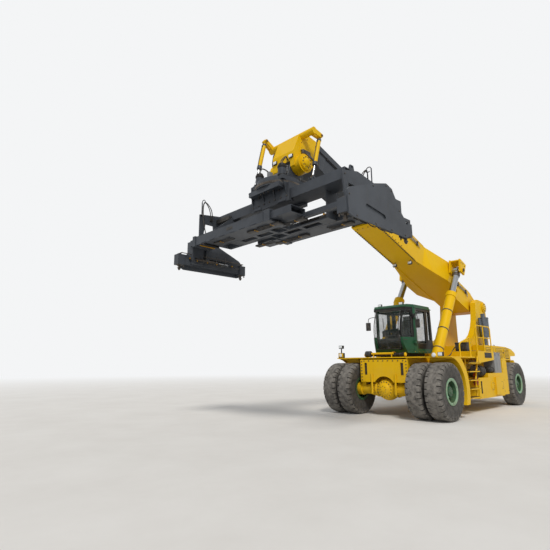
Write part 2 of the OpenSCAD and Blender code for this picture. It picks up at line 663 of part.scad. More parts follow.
module outer_boom() color(yellow) place() on_boom() {
    difference() {
        union() {
            block([600, -outer_w / 2, -outer_d / 2], [outer_l, outer_w / 2, outer_d / 2]);
            // Wings that widen the boom to the lift lugs
            both_sides() hull() {
                translate([0, 0, -outer_d / 2]) linear_extrude(1) polygon([[lift_top_s - 560, 440], [lift_top_s - 460, lug_in_y],
                    [lift_top_s + 240, lug_in_y], [lift_top_s + 1040, 630], [lift_top_s + 1490, 440]]);
                translate([0, 0, outer_d / 2 - 1]) linear_extrude(1) polygon([[lift_top_s - 560, 440], [lift_top_s - 460, lug_in_y],
                    [lift_top_s - 110, lug_in_y], [lift_top_s + 1490, 440]]);
            }
            // Bottom plate that widens towards the lugs
            both_sides() translate([0, 0, -outer_d / 2 - 20]) linear_extrude(21) polygon([[lift_top_s - 1300, 430],
                [lift_top_s - 560, lug_in_y + 10], [lift_top_s + 250, lug_in_y + 10], [lift_top_s + 1050, 645],
                [lift_top_s + 2100, 430]]);
            // Pivot end
            slab([[700, -outer_d / 2], [700, outer_d / 2], [0, 235], [-190, 0], [0, -235]], -outer_w / 2, outer_w / 2);
            bar_y(235, -outer_w / 2 - 20, outer_w / 2 + 20);
        }
        block([700, -outer_w / 2 + boom_plate, -outer_d / 2 + boom_plate],
            [outer_l + 10, outer_w / 2 - boom_plate, outer_d / 2 - boom_plate]);
        bar_y(pivot_pin_r + pin_gap, -1000, 1000);
    }
    // Lugs and pins over the lift cylinders' eyes
    both_sides() {
        for (y = [lug_in_y - 1, lift_y + 150]) slab([[lift_top_s - 260, outer_d / 2], [lift_top_s + 260, outer_d / 2],
            [lift_top_s + 180, lift_top_h - 120], [lift_top_s - 180, lift_top_h - 120]], y, y + 60);
        block([lift_top_s - 220, lug_in_y - 1, outer_d / 2 - 45], [lift_top_s + 220, lift_y + 151, outer_d / 2]);
        // End of the pin, whose middle stays in the rod's eye
        translate([lift_top_s, 0, lift_top_h]) bar_y(lift_pin_d / 2, lift_y + 160, lift_y + 240);
    }
    // Wear pads inside the mouth, over and under the inner boom
    for (h = [-inner_d / 2 - boom_gap, inner_d / 2 + pad_gap])
        block([outer_l - 500, -inner_w / 2 + 60, h], [outer_l - 10, inner_w / 2 - 60, h + boom_gap - pad_gap]);
}
module inner_boom() color(slate) place() on_boom() {
    tube_x(inner_front - inner_l, inner_front, inner_w, inner_d, boom_plate);
    // Wear pads on the rear end
    for (h = [-inner_d / 2 - boom_gap + pad_gap, inner_d / 2])
        block([inner_front - inner_l, -inner_w / 2 + 60, h], [inner_front - inner_l + 300, inner_w / 2 - 60, h + boom_gap - pad_gap]);
}
module boom_head() color(yellow) place() {
    on_boom() difference() {
        union() {
            slab([[inner_front + seat, inner_d / 2 + 20], [inner_front + 500, inner_d / 2 - 60], [inner_front + 820, 60],
                [inner_front + 860, -500], [head_pin_s + 230, head_pin_h - 160], [head_pin_s, head_pin_h - 260],
                [head_pin_s - 220, head_pin_h - 120], [inner_front + seat, -inner_d / 2 - 60]], -400, 400);
            translate([head_pin_s, 0, head_pin_h]) {
                bar_y(255, -540, 540);
                bar_y(205, -580, 580);
            }
        }
        // Room for the yoke's tongue
        translate([head_pin_s, 0, head_pin_h]) {
            bar_y(280, -tongue_half_w - 8, tongue_half_w + 8);
            slab([[-600, 330], [-150, 240], [280, 0], [500, -500], [-800, -500]], -tongue_half_w - 8, tongue_half_w + 8);
        }
    }
    translate([head_pin_x, 0, head_pin_z]) {
        bar_y(head_pin_r, -420, 420);
        // Cross tube and the two levers that carry the dampers
        translate([-60, 0, 870]) bar_y(95, -damper_y + 110, damper_y - 110);
        for (k = [0, 1]) mirror([0, k, 0]) {
            tip = damper_top[k];
            far = tip[0] < -60 ? -1 : 1;
            for (y = [damper_y - 75, damper_y + 42])
                slab([[-60, 790], [-60, 950], [tip[0], tip[1] + 62], [tip[0] + far * 60, tip[1]], [tip[0], tip[1] - 62]], y, y + 33);
            translate([-60, damper_y - 120, 870]) bar_y(95, 0, 200);
            translate([tip[0], 0, tip[1]]) bar_y(damper_pin_r, damper_y - 70, damper_y + 70);
        }
    }
}

module lift_barrel(left) color(yellow) place() side(left) translate([lift_base_x, lift_y, lift_base_z])
    rotate([0, lift_turn, 0]) difference() {
        union() {
            bar_y(150, -75, 75);
            bar_x(74, 0, 260);
            bar_x(lift_barrel_d / 2, 240, 3250);
            bar_x(lift_barrel_d / 2 + 20, 3230, 3400);
        }
        bar_x(lift_rod_d / 2 + pin_gap, 270, 3500);
        bar_y(lift_pin_d / 2 + pin_gap, -200, 200);
    }
module lift_rod(left) color(steel) place() side(left) translate([lift_base_x, lift_y, lift_base_z])
    rotate([0, lift_turn, 0]) {
        bar_x(lift_rod_d / 2, 1070, lift_len - 60);
        // Eye with the middle of its pin, clear of the boom's lugs
        translate([lift_len, 0, 0]) {
            bar_y(150, -75, 75);
            bar_y(lift_pin_d / 2, -150, 140);
        }
    }
module lift_barrel_left() lift_barrel(true);
module lift_barrel_right() lift_barrel(false);
module lift_rod_left() lift_rod(true);
module lift_rod_right() lift_rod(false);

// Dampers between the boom head and the yoke: left one behind the pin, right one ahead of it
module damper(left) translate([head_pin_x + damper_top[left ? 0 : 1][0], left ? damper_y : -damper_y,
    head_pin_z + damper_top[left ? 0 : 1][1]]) rotate([0, damper_turn(left ? 0 : 1), 0]) children();
module damper_barrel(left) color(yellow) place() damper(left) difference() {
    union() {
        bar_y(58, -32, 32);
        bar_x(30, 0, 120);
        bar_x(55, 105, 900);
        bar_x(66, 880, 960);
    }
    bar_y(damper_pin_r + pin_gap, -50, 50);
    bar_x(damper_rod_r + pin_gap, 300, 1000);
}
module damper_rod(left) color(steel) place() damper(left) {
    reach = damper_len(left ? 0 : 1);
    bar_x(damper_rod_r, 620, reach - 20);
    // Eye with the middle of its pin, clear of the foot lugs
    translate([reach, 0, 0]) {
        bar_y(52, -24, 24);
        bar_y(damper_pin_r, -31, 31);
    }
}
module damper_barrel_left() damper_barrel(true);
module damper_barrel_right() damper_barrel(false);
module damper_rod_left() damper_rod(true);
module damper_rod_right() damper_rod(false);

module spreader_yoke() color(slate) place() {
    difference() {
        union() {
            on_spreader() {
                translate([0, 0, yoke_low_z]) cylinder(r = slew_ring_d / 2 - 40, h = yoke_plate);
                block([-640, -560, yoke_low_z], [420, 560, yoke_top_z]);
                // Raised cover around the tongue
                slab([[-620, yoke_top_z - 1], [360, yoke_top_z - 1], [180, yoke_top_z + 230], [-560, yoke_top_z + 230]],
                    -tongue_half_w, tongue_half_w);
                // Slewing motors
                for (y = [-420, 420]) translate([300, y, yoke_top_z - 1]) cylinder(r = 105, h = 290);
            }
            // Tongue that hangs on the head pin
            slab([[head_pin_x - 230, head_pin_z], [head_pin_x - 260, yoke_top_z - 1], [head_pin_x + 420, yoke_top_z - 1],
                [head_pin_x + 200, head_pin_z + 110], [head_pin_x, head_pin_z + 230], [head_pin_x - 160, head_pin_z + 160]],
                -tongue_half_w, tongue_half_w);
        }
        translate([head_pin_x, 0, head_pin_z]) bar_y(head_pin_r + pin_gap, -500, 500);
    }
    // Foot lugs of the dampers with their pins
    for (k = [0, 1]) mirror([0, k, 0]) translate([head_pin_x + damper_foot[k][0], 0, head_pin_z + damper_foot[k][1]]) {
        for (y = [damper_y - 62, damper_y + 37])
            slab([[-90, -190], [90, -190], [90, 0], [0, 70], [-90, 0]], y, y + 25);
        block([-90, 500, yoke_low_z - head_pin_z - damper_foot[k][1]],
            [90, damper_y + 62, yoke_low_z - head_pin_z - damper_foot[k][1] + 70]);
        bar_y(damper_pin_r, damper_y + 50, damper_y + 80);
    }
}
module slew_carriage() color(slate) place() on_spreader() {
    // Slewing ring
    difference() {
        translate([0, 0, ring_low_z - 1]) cylinder(r = slew_ring_d / 2, h = ring_h + 1);
        translate([0, 0, ring_low_z - 2]) cylinder(r = slew_ring_d / 2 - 160, h = ring_h + 3);
    }
    // Wide plate under the ring
    block([-560, -560, girder_top_z + 30], [560, 560, ring_low_z]);
    // Saddle around the girder
    difference() {
        block([-girder_w / 2 - saddle_plate, -carriage_half_l, girder_low_z - saddle_plate],
            [girder_w / 2 + saddle_plate, carriage_half_l, ring_low_z - 1]);
        block([-girder_w / 2 - pad_gap, -carriage_half_l - 1, girder_low_z - pad_gap],
            [girder_w / 2 + pad_gap, carriage_half_l + 1, girder_top_z + pad_gap]);
        block([-girder_w / 2 + 90, -carriage_half_l - 1, girder_low_z - saddle_plate - 1],
            [girder_w / 2 - 90, carriage_half_l + 1, girder_low_z + 1]);
    }
}
module tube_y(x, z, w, h, y0, y1, wall) difference() {
    block([x - w / 2, y0, z - h / 2], [x + w / 2, y1, z + h / 2]);
    block([x - w / 2 + wall, y0 - 1, z - h / 2 + wall], [x + w / 2 - wall, y1 + 1, z + h / 2 - wall]);
}
// One sleeve with its share of the frame; the other is the same turned half round
module half_frame() {
    mouth_y = -sleeve_l / 2;
    x0 = sleeve_x - sleeve_w / 2;
    x1 = sleeve_x + sleeve_w / 2;
    low = sleeve_low_z;
    top = sleeve_low_z + sleeve_h;
    portal_y = -girder_l / 2;
    difference() {
        union() {
            block([x0, mouth_y, low], [x1, sleeve_reach, top]);
            // Collars at the mouth and the inner end
            block([x0 - 25, mouth_y, low - 25], [x1 + 25, mouth_y + 120, top + 25]);
            block([x0 - 20, sleeve_reach - 200, low - 20], [x1 + 20, sleeve_reach, top + 20]);
            // Portal from the sleeve up to the girder's end, and the diaphragm behind it
            difference() {
                slab([[-240, top - 180], [x1, top - 180], [x1, girder_top_z - 50], [230, girder_top_z + 40],
                    [-380, girder_top_z - 100], [-300, top + 100]], portal_y, portal_y + 40);
                slab([[-160, top + 110], [120, top + 110], [120, girder_low_z - 90], [-160, girder_low_z - 90]],
                    portal_y - 1, portal_y + 41);
                slab([[400, top + 90], [760, top + 90], [700, girder_low_z - 40], [430, girder_low_z - 40]],
                    portal_y - 1, portal_y + 41);
            }
            slab([[-20, low], [x1, low], [x1, top + 20], [0.5 * girder_w + 20, girder_low_z + 60], [-20, girder_low_z + 60]],
                -bay_half_l - 40, -bay_half_l);
            slab([[-20, low], [x1 + 18, low], [x1 + 18, top + 18], [-20, top + 18]], sleeve_reach - 260, sleeve_reach - 220);
            // Rail along the other side that carries the beam's tail
            block([-girder_w / 2, portal_y + 1, top - 180], [-girder_w / 2 + 120, sleeve_reach, top - 60]);
            // Floor between the sleeves
            difference() {
                block([-1, -bay_half_l - 1, low], [x0 + 1, 1, low + 30]);
                block([70, -1250, low - 1], [x0 - 70, -720, low + 31]);
                block([70, -600, low - 1], [x0 - 70, -110, low + 31]);
            }
        }
        block([x0 + spreader_plate, mouth_y - 100, low + spreader_plate], [x1 - spreader_plate, sleeve_reach + 100, top - spreader_plate]);
    }
    // Wear pads under and over the beam at the mouth
    for (z = [low + spreader_plate, top - spreader_plate - beam_gap + pad_gap])
        block([sleeve_x - beam_w / 2 + 40, mouth_y, z], [sleeve_x + beam_w / 2 - 40, mouth_y + 700, z + beam_gap - pad_gap]);
    // Lifting eye on the girder's end
    difference() {
        slab([[-90, girder_top_z - 1], [90, girder_top_z - 1], [55, girder_top_z + 120], [-55, girder_top_z + 120]],
            portal_y, portal_y + 40);
        translate([0, 0, girder_top_z + 75]) bar_y(eye_r, -3000, 3000);
    }
}
module spreader_main_frame() color(slate) place() on_spreader() {
    difference() {
        block([-girder_w / 2, -girder_l / 2, girder_low_z], [girder_w / 2, girder_l / 2, girder_top_z]);
        block([-girder_w / 2 + 20, -girder_l / 2 - 100, girder_low_z + 20], [girder_w / 2 - 20, girder_l / 2 + 100, girder_top_z - 20]);
    }
    for (a = [0, 180]) rotate([0, 0, a]) half_frame();
}
// The end that slides out to the left, carried by the rear sleeve
module extension_end() {
    beam_rear_y = -sleeve_reach - beam_tail;
    top = lock_face_z + housing_h;
    outer_y = end_y + corner_half;
    tube_y(-sleeve_x, sleeve_mid_z, beam_w, beam_h, beam_rear_y, end_y - corner_half, spreader_plate);
    difference() {
        union() {
            // Cross beam over the container's end, with the lock housings at its ends
            block([-lock_x, end_y - 60, lock_face_z + 40], [lock_x, outer_y, lock_face_z + 40 + end_beam_h]);
            for (x = [-lock_x, lock_x])
                block([x - corner_half, end_y - corner_half, lock_face_z], [x + corner_half, outer_y, top]);
            // Gusset box from the beam down to the cross beam
            block([-sleeve_x - 190, end_y - corner_half - 60, lock_face_z + 60], [-sleeve_x + 190, outer_y, sleeve_mid_z + beam_h / 2]);
            block([-sleeve_x + 180, end_y - 20, lock_face_z + 60], [sleeve_x, outer_y, sleeve_low_z + 60]);
            // End plate with its slot and hole
            difference() {
                slab([[-920, lock_face_z - 90], [1080, lock_face_z - 70], [1200, lock_face_z - 30], [1230, lock_face_z + 430],
                    [1150, lock_face_z + 500], [320, lock_face_z + 820], [-180, lock_face_z + 970], [-400, lock_face_z + 910],
                    [-680, lock_face_z + 520], [-840, lock_face_z + 370], [-1120, lock_face_z + 370], [-1110, lock_face_z + 10]],
                    outer_y - 1, outer_y + end_plate);
                slab([[-60, lock_face_z + 130], [610, lock_face_z + 210], [640, lock_face_z + 260], [600, lock_face_z + 310],
                    [-60, lock_face_z + 230], [-95, lock_face_z + 180]], outer_y - 1.5, outer_y + end_plate + 1);
                translate([-960, 0, lock_face_z + 270]) bar_y(42, outer_y - 1.5, outer_y + end_plate + 1);
            }
        }
        for (x = [-lock_x, lock_x]) translate([x, end_y, lock_face_z - 1]) cylinder(r = lock_r + pin_gap, h = housing_h + 2);
        // Pocket behind the end plate's slot
        block([-300, outer_y - 130, lock_face_z + 120], [760, outer_y - 1, lock_face_z + 320]);
    }
}
module extension_left() color(slate) place() on_spreader() extension_end();
module extension_right() color(slate) place() on_spreader() rotate([0, 0, 180]) extension_end();
module end_locks() for (x = [-lock_x, lock_x]) translate([x, end_y, 0]) {
    translate([0, 0, lock_tip_z + 40]) cylinder(r = lock_r, h = lock_face_z + housing_h - lock_tip_z - 50);
    intersection() {
        translate([0, 0, lock_tip_z]) cylinder(r1 = 22, r2 = 56, h = 70);
        block([-60, -31, lock_tip_z], [60, 31, lock_tip_z + 70]);
    }
}
module twistlocks_left() color(steel) place() on_spreader() end_locks();
module twistlocks_right() color(steel) place() on_spreader() rotate([0, 0, 180]) end_locks();

chassis_frame();
front_plate();
front_axle();
front_mudguards();
deck();
cab_body();
cab_roof();
cab_glass();
operator_seat();
cab_console();
cab_subframe();
cab_door();
cab_door_glass();
boom_pylon();
engine_hood();
counterweight();
engine_block();
side_tanks();
air_cleaner();
battery_box();
exhaust();
ladders();
handrails();
headlamps();
steering_axle();
steering_knuckle_left();
steering_knuckle_right();
front_tyres_left();
front_tyres_right();
front_rims_left();
front_rims_right();
rear_tyre_left();
rear_tyre_right();
rear_rim_left();
rear_rim_right();
outer_boom();
inner_boom();
boom_head();
lift_barrel_left();
lift_barrel_right();
lift_rod_left();
lift_rod_right();
damper_barrel_left();
damper_barrel_right();
damper_rod_left();
damper_rod_right();
spreader_yoke();
slew_carriage();
spreader_main_frame();
extension_left();
extension_right();
twistlocks_left();
twistlocks_right();
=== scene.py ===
"""Reach stacker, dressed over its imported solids: tyres, cab fittings, hoses, lamps and the finishes."""
import json
import math
import sys

import bmesh
import bpy
import numpy as np
from mathutils import Matrix, Vector
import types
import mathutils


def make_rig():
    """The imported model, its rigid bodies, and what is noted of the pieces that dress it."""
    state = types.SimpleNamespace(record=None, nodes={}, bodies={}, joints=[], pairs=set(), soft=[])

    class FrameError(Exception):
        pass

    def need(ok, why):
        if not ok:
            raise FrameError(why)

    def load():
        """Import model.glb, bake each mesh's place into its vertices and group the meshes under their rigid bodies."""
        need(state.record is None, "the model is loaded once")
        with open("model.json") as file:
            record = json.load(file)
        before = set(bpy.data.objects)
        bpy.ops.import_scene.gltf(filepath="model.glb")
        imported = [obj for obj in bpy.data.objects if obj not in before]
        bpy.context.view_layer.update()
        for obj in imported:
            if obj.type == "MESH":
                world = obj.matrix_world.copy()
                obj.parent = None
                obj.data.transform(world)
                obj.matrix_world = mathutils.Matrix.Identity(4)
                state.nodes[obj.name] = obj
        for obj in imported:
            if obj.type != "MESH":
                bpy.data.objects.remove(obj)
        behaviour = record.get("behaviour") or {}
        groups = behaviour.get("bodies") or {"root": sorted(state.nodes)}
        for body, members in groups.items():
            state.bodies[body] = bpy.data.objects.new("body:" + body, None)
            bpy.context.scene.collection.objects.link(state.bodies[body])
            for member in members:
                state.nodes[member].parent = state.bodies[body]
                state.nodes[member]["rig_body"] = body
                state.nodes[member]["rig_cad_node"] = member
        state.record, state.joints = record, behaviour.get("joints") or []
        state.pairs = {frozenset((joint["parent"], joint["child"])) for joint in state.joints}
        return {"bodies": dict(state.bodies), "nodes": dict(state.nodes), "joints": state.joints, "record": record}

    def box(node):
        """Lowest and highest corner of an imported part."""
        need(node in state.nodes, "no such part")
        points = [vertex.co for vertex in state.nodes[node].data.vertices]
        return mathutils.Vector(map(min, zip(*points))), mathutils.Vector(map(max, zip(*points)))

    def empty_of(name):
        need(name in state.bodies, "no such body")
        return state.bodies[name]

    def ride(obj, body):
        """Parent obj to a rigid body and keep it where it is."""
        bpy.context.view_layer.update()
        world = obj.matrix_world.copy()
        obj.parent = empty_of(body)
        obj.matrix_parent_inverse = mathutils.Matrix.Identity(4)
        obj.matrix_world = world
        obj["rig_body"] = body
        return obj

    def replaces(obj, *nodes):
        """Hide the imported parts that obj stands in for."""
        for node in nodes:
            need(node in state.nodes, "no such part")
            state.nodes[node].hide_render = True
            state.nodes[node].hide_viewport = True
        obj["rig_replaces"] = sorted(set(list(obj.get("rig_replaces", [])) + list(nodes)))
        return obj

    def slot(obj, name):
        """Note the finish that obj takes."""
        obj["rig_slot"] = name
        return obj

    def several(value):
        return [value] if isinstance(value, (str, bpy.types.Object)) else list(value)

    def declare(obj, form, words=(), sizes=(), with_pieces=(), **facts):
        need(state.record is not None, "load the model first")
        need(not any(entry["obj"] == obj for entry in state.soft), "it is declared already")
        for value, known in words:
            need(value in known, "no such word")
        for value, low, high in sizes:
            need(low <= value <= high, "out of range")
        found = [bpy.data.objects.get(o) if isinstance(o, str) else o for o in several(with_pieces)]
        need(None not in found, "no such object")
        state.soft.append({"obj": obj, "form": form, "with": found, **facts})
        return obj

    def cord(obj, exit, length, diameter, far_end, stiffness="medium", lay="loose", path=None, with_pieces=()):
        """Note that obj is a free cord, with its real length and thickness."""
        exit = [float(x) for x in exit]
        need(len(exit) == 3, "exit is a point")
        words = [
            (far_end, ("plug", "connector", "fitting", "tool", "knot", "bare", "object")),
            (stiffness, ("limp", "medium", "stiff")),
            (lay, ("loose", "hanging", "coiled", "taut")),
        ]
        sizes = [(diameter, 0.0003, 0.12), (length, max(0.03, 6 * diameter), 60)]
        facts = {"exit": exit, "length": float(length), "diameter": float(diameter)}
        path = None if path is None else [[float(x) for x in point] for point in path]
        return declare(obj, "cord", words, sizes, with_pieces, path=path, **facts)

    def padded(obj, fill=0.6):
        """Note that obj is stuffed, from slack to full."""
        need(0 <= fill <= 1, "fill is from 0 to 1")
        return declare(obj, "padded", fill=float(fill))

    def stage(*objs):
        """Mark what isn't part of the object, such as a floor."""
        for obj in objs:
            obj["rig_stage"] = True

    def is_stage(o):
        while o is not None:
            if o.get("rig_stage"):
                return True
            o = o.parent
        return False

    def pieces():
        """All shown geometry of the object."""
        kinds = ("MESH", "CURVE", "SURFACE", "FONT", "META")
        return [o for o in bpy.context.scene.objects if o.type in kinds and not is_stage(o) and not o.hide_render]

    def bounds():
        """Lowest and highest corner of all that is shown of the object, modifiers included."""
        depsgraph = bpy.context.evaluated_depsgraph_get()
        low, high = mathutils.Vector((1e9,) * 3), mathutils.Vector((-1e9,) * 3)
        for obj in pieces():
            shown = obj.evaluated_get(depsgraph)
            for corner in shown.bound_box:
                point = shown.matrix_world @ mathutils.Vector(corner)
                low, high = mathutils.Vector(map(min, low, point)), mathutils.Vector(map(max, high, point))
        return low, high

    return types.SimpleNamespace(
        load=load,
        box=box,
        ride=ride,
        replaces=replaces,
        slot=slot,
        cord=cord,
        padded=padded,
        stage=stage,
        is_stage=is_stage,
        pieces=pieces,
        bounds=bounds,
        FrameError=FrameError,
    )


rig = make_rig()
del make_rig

bl_info = {
    "name": "Reach stacker dressing",
    "version": (1, 0, 0),
    "blender": (4, 5, 0),
    "location": "View3D > Sidebar > Reach stacker",
    "description": "Builds the visible pieces of a container reach stacker over its solids",
    "category": "Object",
}

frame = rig.load()
CAD_LOW, CAD_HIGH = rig.bounds()
# The front axle's middle: sizes below are measured from it, x forward, y left, z up, in metres
AXLE_LOW, AXLE_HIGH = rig.box("front_axle")
FRONT_X = (AXLE_LOW.x + AXLE_HIGH.x) / 2
TYRE_LOW, TYRE_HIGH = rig.box("rear_tyre_left")
WHEEL_R = (TYRE_HIGH.z - TYRE_LOW.z) / 2
TYRE_W = TYRE_HIGH.y - TYRE_LOW.y
# Middles of the tyres, and the drive axle's height
OUTER_Y, INNER_Y, STEER_Y, STEER_X = 1.805, 1.215, 1.53, -6.75
AXLE_Z = .82
# The boom's pivot and its parked angle, the pins of the lift cylinders and of the head, and the spreader's middle
PIVOT = (-6.6, 0, 3.93)
BOOM_ANGLE = math.radians(18.5)
LIFT_BASE = np.array((-.9, 0, 1.3))
LIFT_PIN = (3.258, 0, .06)
HEAD_PIN = (4.42, 0, 6.85)
SPREADER_X = 4.8802


class Form:
    """Vertices and faces of one piece, gathered shell by shell."""

    def __init__(self):
        self.points, self.faces, self.count = [], [], 0

    def add(self, points, faces):
        """Adds a shell: its points, and its faces as arrays or lists of their numbers."""
        points = np.asarray(points, float).reshape(-1, 3)
        self.points.append(points)
        for block in faces:
            if isinstance(block, np.ndarray):
                self.faces.extend((block + self.count).tolist())
            else:
                self.faces.append([i + self.count for i in block])
        self.count += len(points)
        return self

    def turned(self, matrix):
        """The same form carried by a 4 by 4 matrix."""
        m = np.array(matrix)
        self.points = [p @ m[:3, :3].T + m[:3, 3] for p in self.points]
        return self

    def join(self, other):
        """Adds all shells of another form."""
        return self.add(np.concatenate(other.points), [list(f) for f in other.faces])


def placed(point, angle, axis="Y"):
    """The matrix that turns by an angle about one of the axes and then carries the origin to a point."""
    return Matrix.Translation(point) @ Matrix.Rotation(angle, 4, axis)


def others(axis):
    """The two axes square to one, in x, y, z order."""
    return [i for i in range(3) if i != axis]


def grid_faces(rows, columns, close_rows=False, close_columns=True):
    """Quads of a rows by columns grid of points, wrapped along either direction."""
    i = np.arange(rows if close_rows else rows - 1)
    j = np.arange(columns if close_columns else columns - 1)
    a, b = np.meshgrid(i, j, indexing="ij")
    a, b = a.ravel(), b.ravel()
    a2, b2 = (a + 1) % rows, (b + 1) % columns
    return np.stack([a * columns + b, a * columns + b2, a2 * columns + b2, a2 * columns + b], 1)


def capped(form, rings, sides):
    """Adds rings of points joined by quads, with a flat face over the first ring and over the last."""
    n = len(rings)
    ends = [list(range(sides)), list(range((n - 1) * sides, n * sides))]
    return form.add(np.concatenate(rings), [grid_faces(n, sides), *ends])


def frames(path):
    """Unit tangent and two square directions at each point of a path. The side direction is carried from point to
    point with its part along the tangent taken out, so it turns as little as possible."""
    path = np.asarray(path, float)
    tangent = np.gradient(path, axis=0)
    tangent /= np.linalg.norm(tangent, axis=1)[:, None]
    side = np.empty_like(tangent)
    seed = np.array([0.0, 0.0, 1.0]) if abs(tangent[0, 2]) < .9 else np.array([0.0, 1.0, 0.0])
    side[0] = np.cross(tangent[0], seed)
    side[0] /= np.linalg.norm(side[0])
    for k in range(1, len(path)):
        v = side[k - 1] - tangent[k] * (side[k - 1] @ tangent[k])
        side[k] = v / np.linalg.norm(v)
    return tangent, side, np.cross(tangent, side)


def smooth_path(knots, count=40):
    """A path through the knots: between two of them each coordinate is a cubic in the share of the way run, with its
    slope at a knot half the step between that knot's neighbours. Two knots give a straight line."""
    k = np.asarray(knots, float)
    k = np.vstack([2 * k[0] - k[1], k, 2 * k[-1] - k[-2]])
    n = len(k) - 3
    t = np.linspace(0, n, count)
    i = np.minimum(t.astype(int), n - 1)
    u = (t - i)[:, None]
    a, b, c, d = k[i], k[i + 1], k[i + 2], k[i + 3]
    return .5 * (2 * b + (c - a) * u + (2 * a - 5 * b + 4 * c - d) * u ** 2 + (3 * b - a - 3 * c + d) * u ** 3)


def tube(form, path, radius, sides=12):
    """A round profile carried along a path, closed at both ends. radius is one number or one for each point."""
    path = np.asarray(path, float)
    _, a, b = frames(path)
    t = np.linspace(0, 2 * np.pi, sides, endpoint=False)
    r = np.broadcast_to(np.asarray(radius, float), (len(path),))
    ring = a[:, None] * np.cos(t)[None, :, None] + b[:, None] * np.sin(t)[None, :, None]
    return capped(form, path[:, None] + ring * r[:, None, None], sides)


def run(form, knots, radius, sides=8, count=24):
    """A tube along the smooth path through the knots."""
    return tube(form, smooth_path(knots, count), radius, sides)


def rounded_outline(width, height, radius, steps=3):
    """Points round a rectangle whose corners are quarter circles of the given radius."""
    radius = min(radius, width / 2 - 1e-5, height / 2 - 1e-5)
    t = np.linspace(0, np.pi / 2, steps + 1)
    corners = []
    for k, (sx, sy) in enumerate(((1, 1), (-1, 1), (-1, -1), (1, -1))):
        a = t + k * np.pi / 2
        corners.append(np.stack([sx * (width / 2 - radius) + radius * np.cos(a),
                                 sy * (height / 2 - radius) + radius * np.sin(a)], 1))
    return np.concatenate(corners)


def prism(form, outline, low, high, axis=1, chamfer=0.0):
    """An outline carried straight from low to high along an axis, its two ends drawn in by a chamfer.
    The outline's two columns are the other two axes in x, y, z order."""
    outline = np.asarray(outline, float)
    n = len(outline)
    c = min(chamfer, (high - low) / 3)
    stations = [low, low + c, high - c, high] if c > 0 else [low, high]
    edge = np.roll(outline, -1, 0) - np.roll(outline, 1, 0)
    normal = np.stack([edge[:, 1], -edge[:, 0]], 1)
    normal /= np.maximum(np.linalg.norm(normal, axis=1), 1e-9)[:, None]
    area = np.sum(outline[:, 0] * np.roll(outline[:, 1], -1) - np.roll(outline[:, 0], -1) * outline[:, 1])
    normal *= 1 if area > 0 else -1
    rings = []
    for k, s in enumerate(stations):
        ring = np.empty((n, 3))
        ring[:, others(axis)] = outline - normal * c if c > 0 and k in (0, 3) else outline
        ring[:, axis] = s
        rings.append(ring)
    return capped(form, rings, n)


def box(form, low, high, edge=.012, corner=None):
    """A box between two corners with its edges eased: a rounded rectangle carried along the longest side."""
    low, high = np.minimum(low, high).astype(float), np.maximum(low, high).astype(float)
    size = high - low
    axis = int(np.argmax(size))
    other = others(axis)
    edge = min(edge, size.min() * .3)
    outline = rounded_outline(size[other[0]], size[other[1]], corner or edge, 2) + (low[other] + high[other]) / 2
    return prism(form, outline, low[axis], high[axis], axis, edge)


def lathe(form, profile, centre, axis=1, sides=48):
    """A profile of (distance along the axis, radius) pairs turned about an axis through centre, open at its ends."""
    profile = np.asarray(profile, float)
    t = np.linspace(0, 2 * np.pi, sides, endpoint=False)
    first, second = others(axis)
    pts = np.zeros((len(profile), sides, 3))
    pts[..., axis] = profile[:, 0, None]
    pts[..., first] = profile[:, 1, None] * np.cos(t)
    pts[..., second] = profile[:, 1, None] * np.sin(t)
    return form.add(pts + np.asarray(centre, float), [grid_faces(len(profile), sides)])


def closed_lathe(form, profile, centre, axis=1, sides=48):
    """A turned solid: both ends of its profile run in to the axis."""
    return lathe(form, [(profile[0][0], 0.0), *profile, (profile[-1][0], 0.0)], centre, axis, sides)


def band(form, middle, half, low, high, centre, axis=1, sides=48):
    """A flat ring round an axis, from a low to a high radius, as wide as twice half."""
    a, b = middle - half, middle + half
    return lathe(form, [(a, low), (a, high), (b, high), (b, low)], centre, axis, sides)


def torus(form, radius, thick, centre, tilt=0.0, sides=12, count=48):
    """A ring of round section, closed on itself: a circle of radius thick carried round one of the main radius, and
    then tilted about y."""
    t = np.linspace(0, 2 * np.pi, count, endpoint=False)
    u = np.linspace(0, 2 * np.pi, sides, endpoint=False)
    r = radius + thick * np.cos(u)[None, :]
    x, y, z = r * np.cos(t)[:, None], r * np.sin(t)[:, None], np.broadcast_to(thick * np.sin(u), (count, sides))
    c, s = math.cos(tilt), math.sin(tilt)
    p = np.stack([x * c - z * s, y, x * s + z * c], -1) + np.asarray(centre, float)
    return form.add(p, [grid_faces(count, sides, close_rows=True)])


def circle(radius, count, centre, axis, start=0.0):
    """Places evenly round a circle that stands square to an axis."""
    t = start + np.arange(count) * 2 * np.pi / count
    first, second = others(axis)
    p = np.zeros((count, 3))
    p[:, first], p[:, second] = radius * np.cos(t), radius * np.sin(t)
    return p + np.asarray(centre, float)


def hexagons(form, places, way, across=.05, height=.03):
    """Bolt heads: hexagons with a drawn-in top, one at each place. Their way is 1, 2 or 3 along x, y or z, or the
    same below zero."""
    axis = abs(way) - 1
    t = np.linspace(0, 2 * np.pi, 6, endpoint=False)
    first, second = others(axis)
    r = across / 2 / math.cos(math.pi / 6)
    for p in np.atleast_2d(places):
        rings = []
        for d, s in ((-.004, 1.0), (height * .75, 1.0), (height, .8)):
            ring = np.zeros((6, 3))
            ring[:, first] = r * s * np.cos(t)
            ring[:, second] = r * s * np.sin(t)
            ring[:, axis] = math.copysign(1, way) * d
            rings.append(ring + p)
        capped(form, rings, 6)
    return form


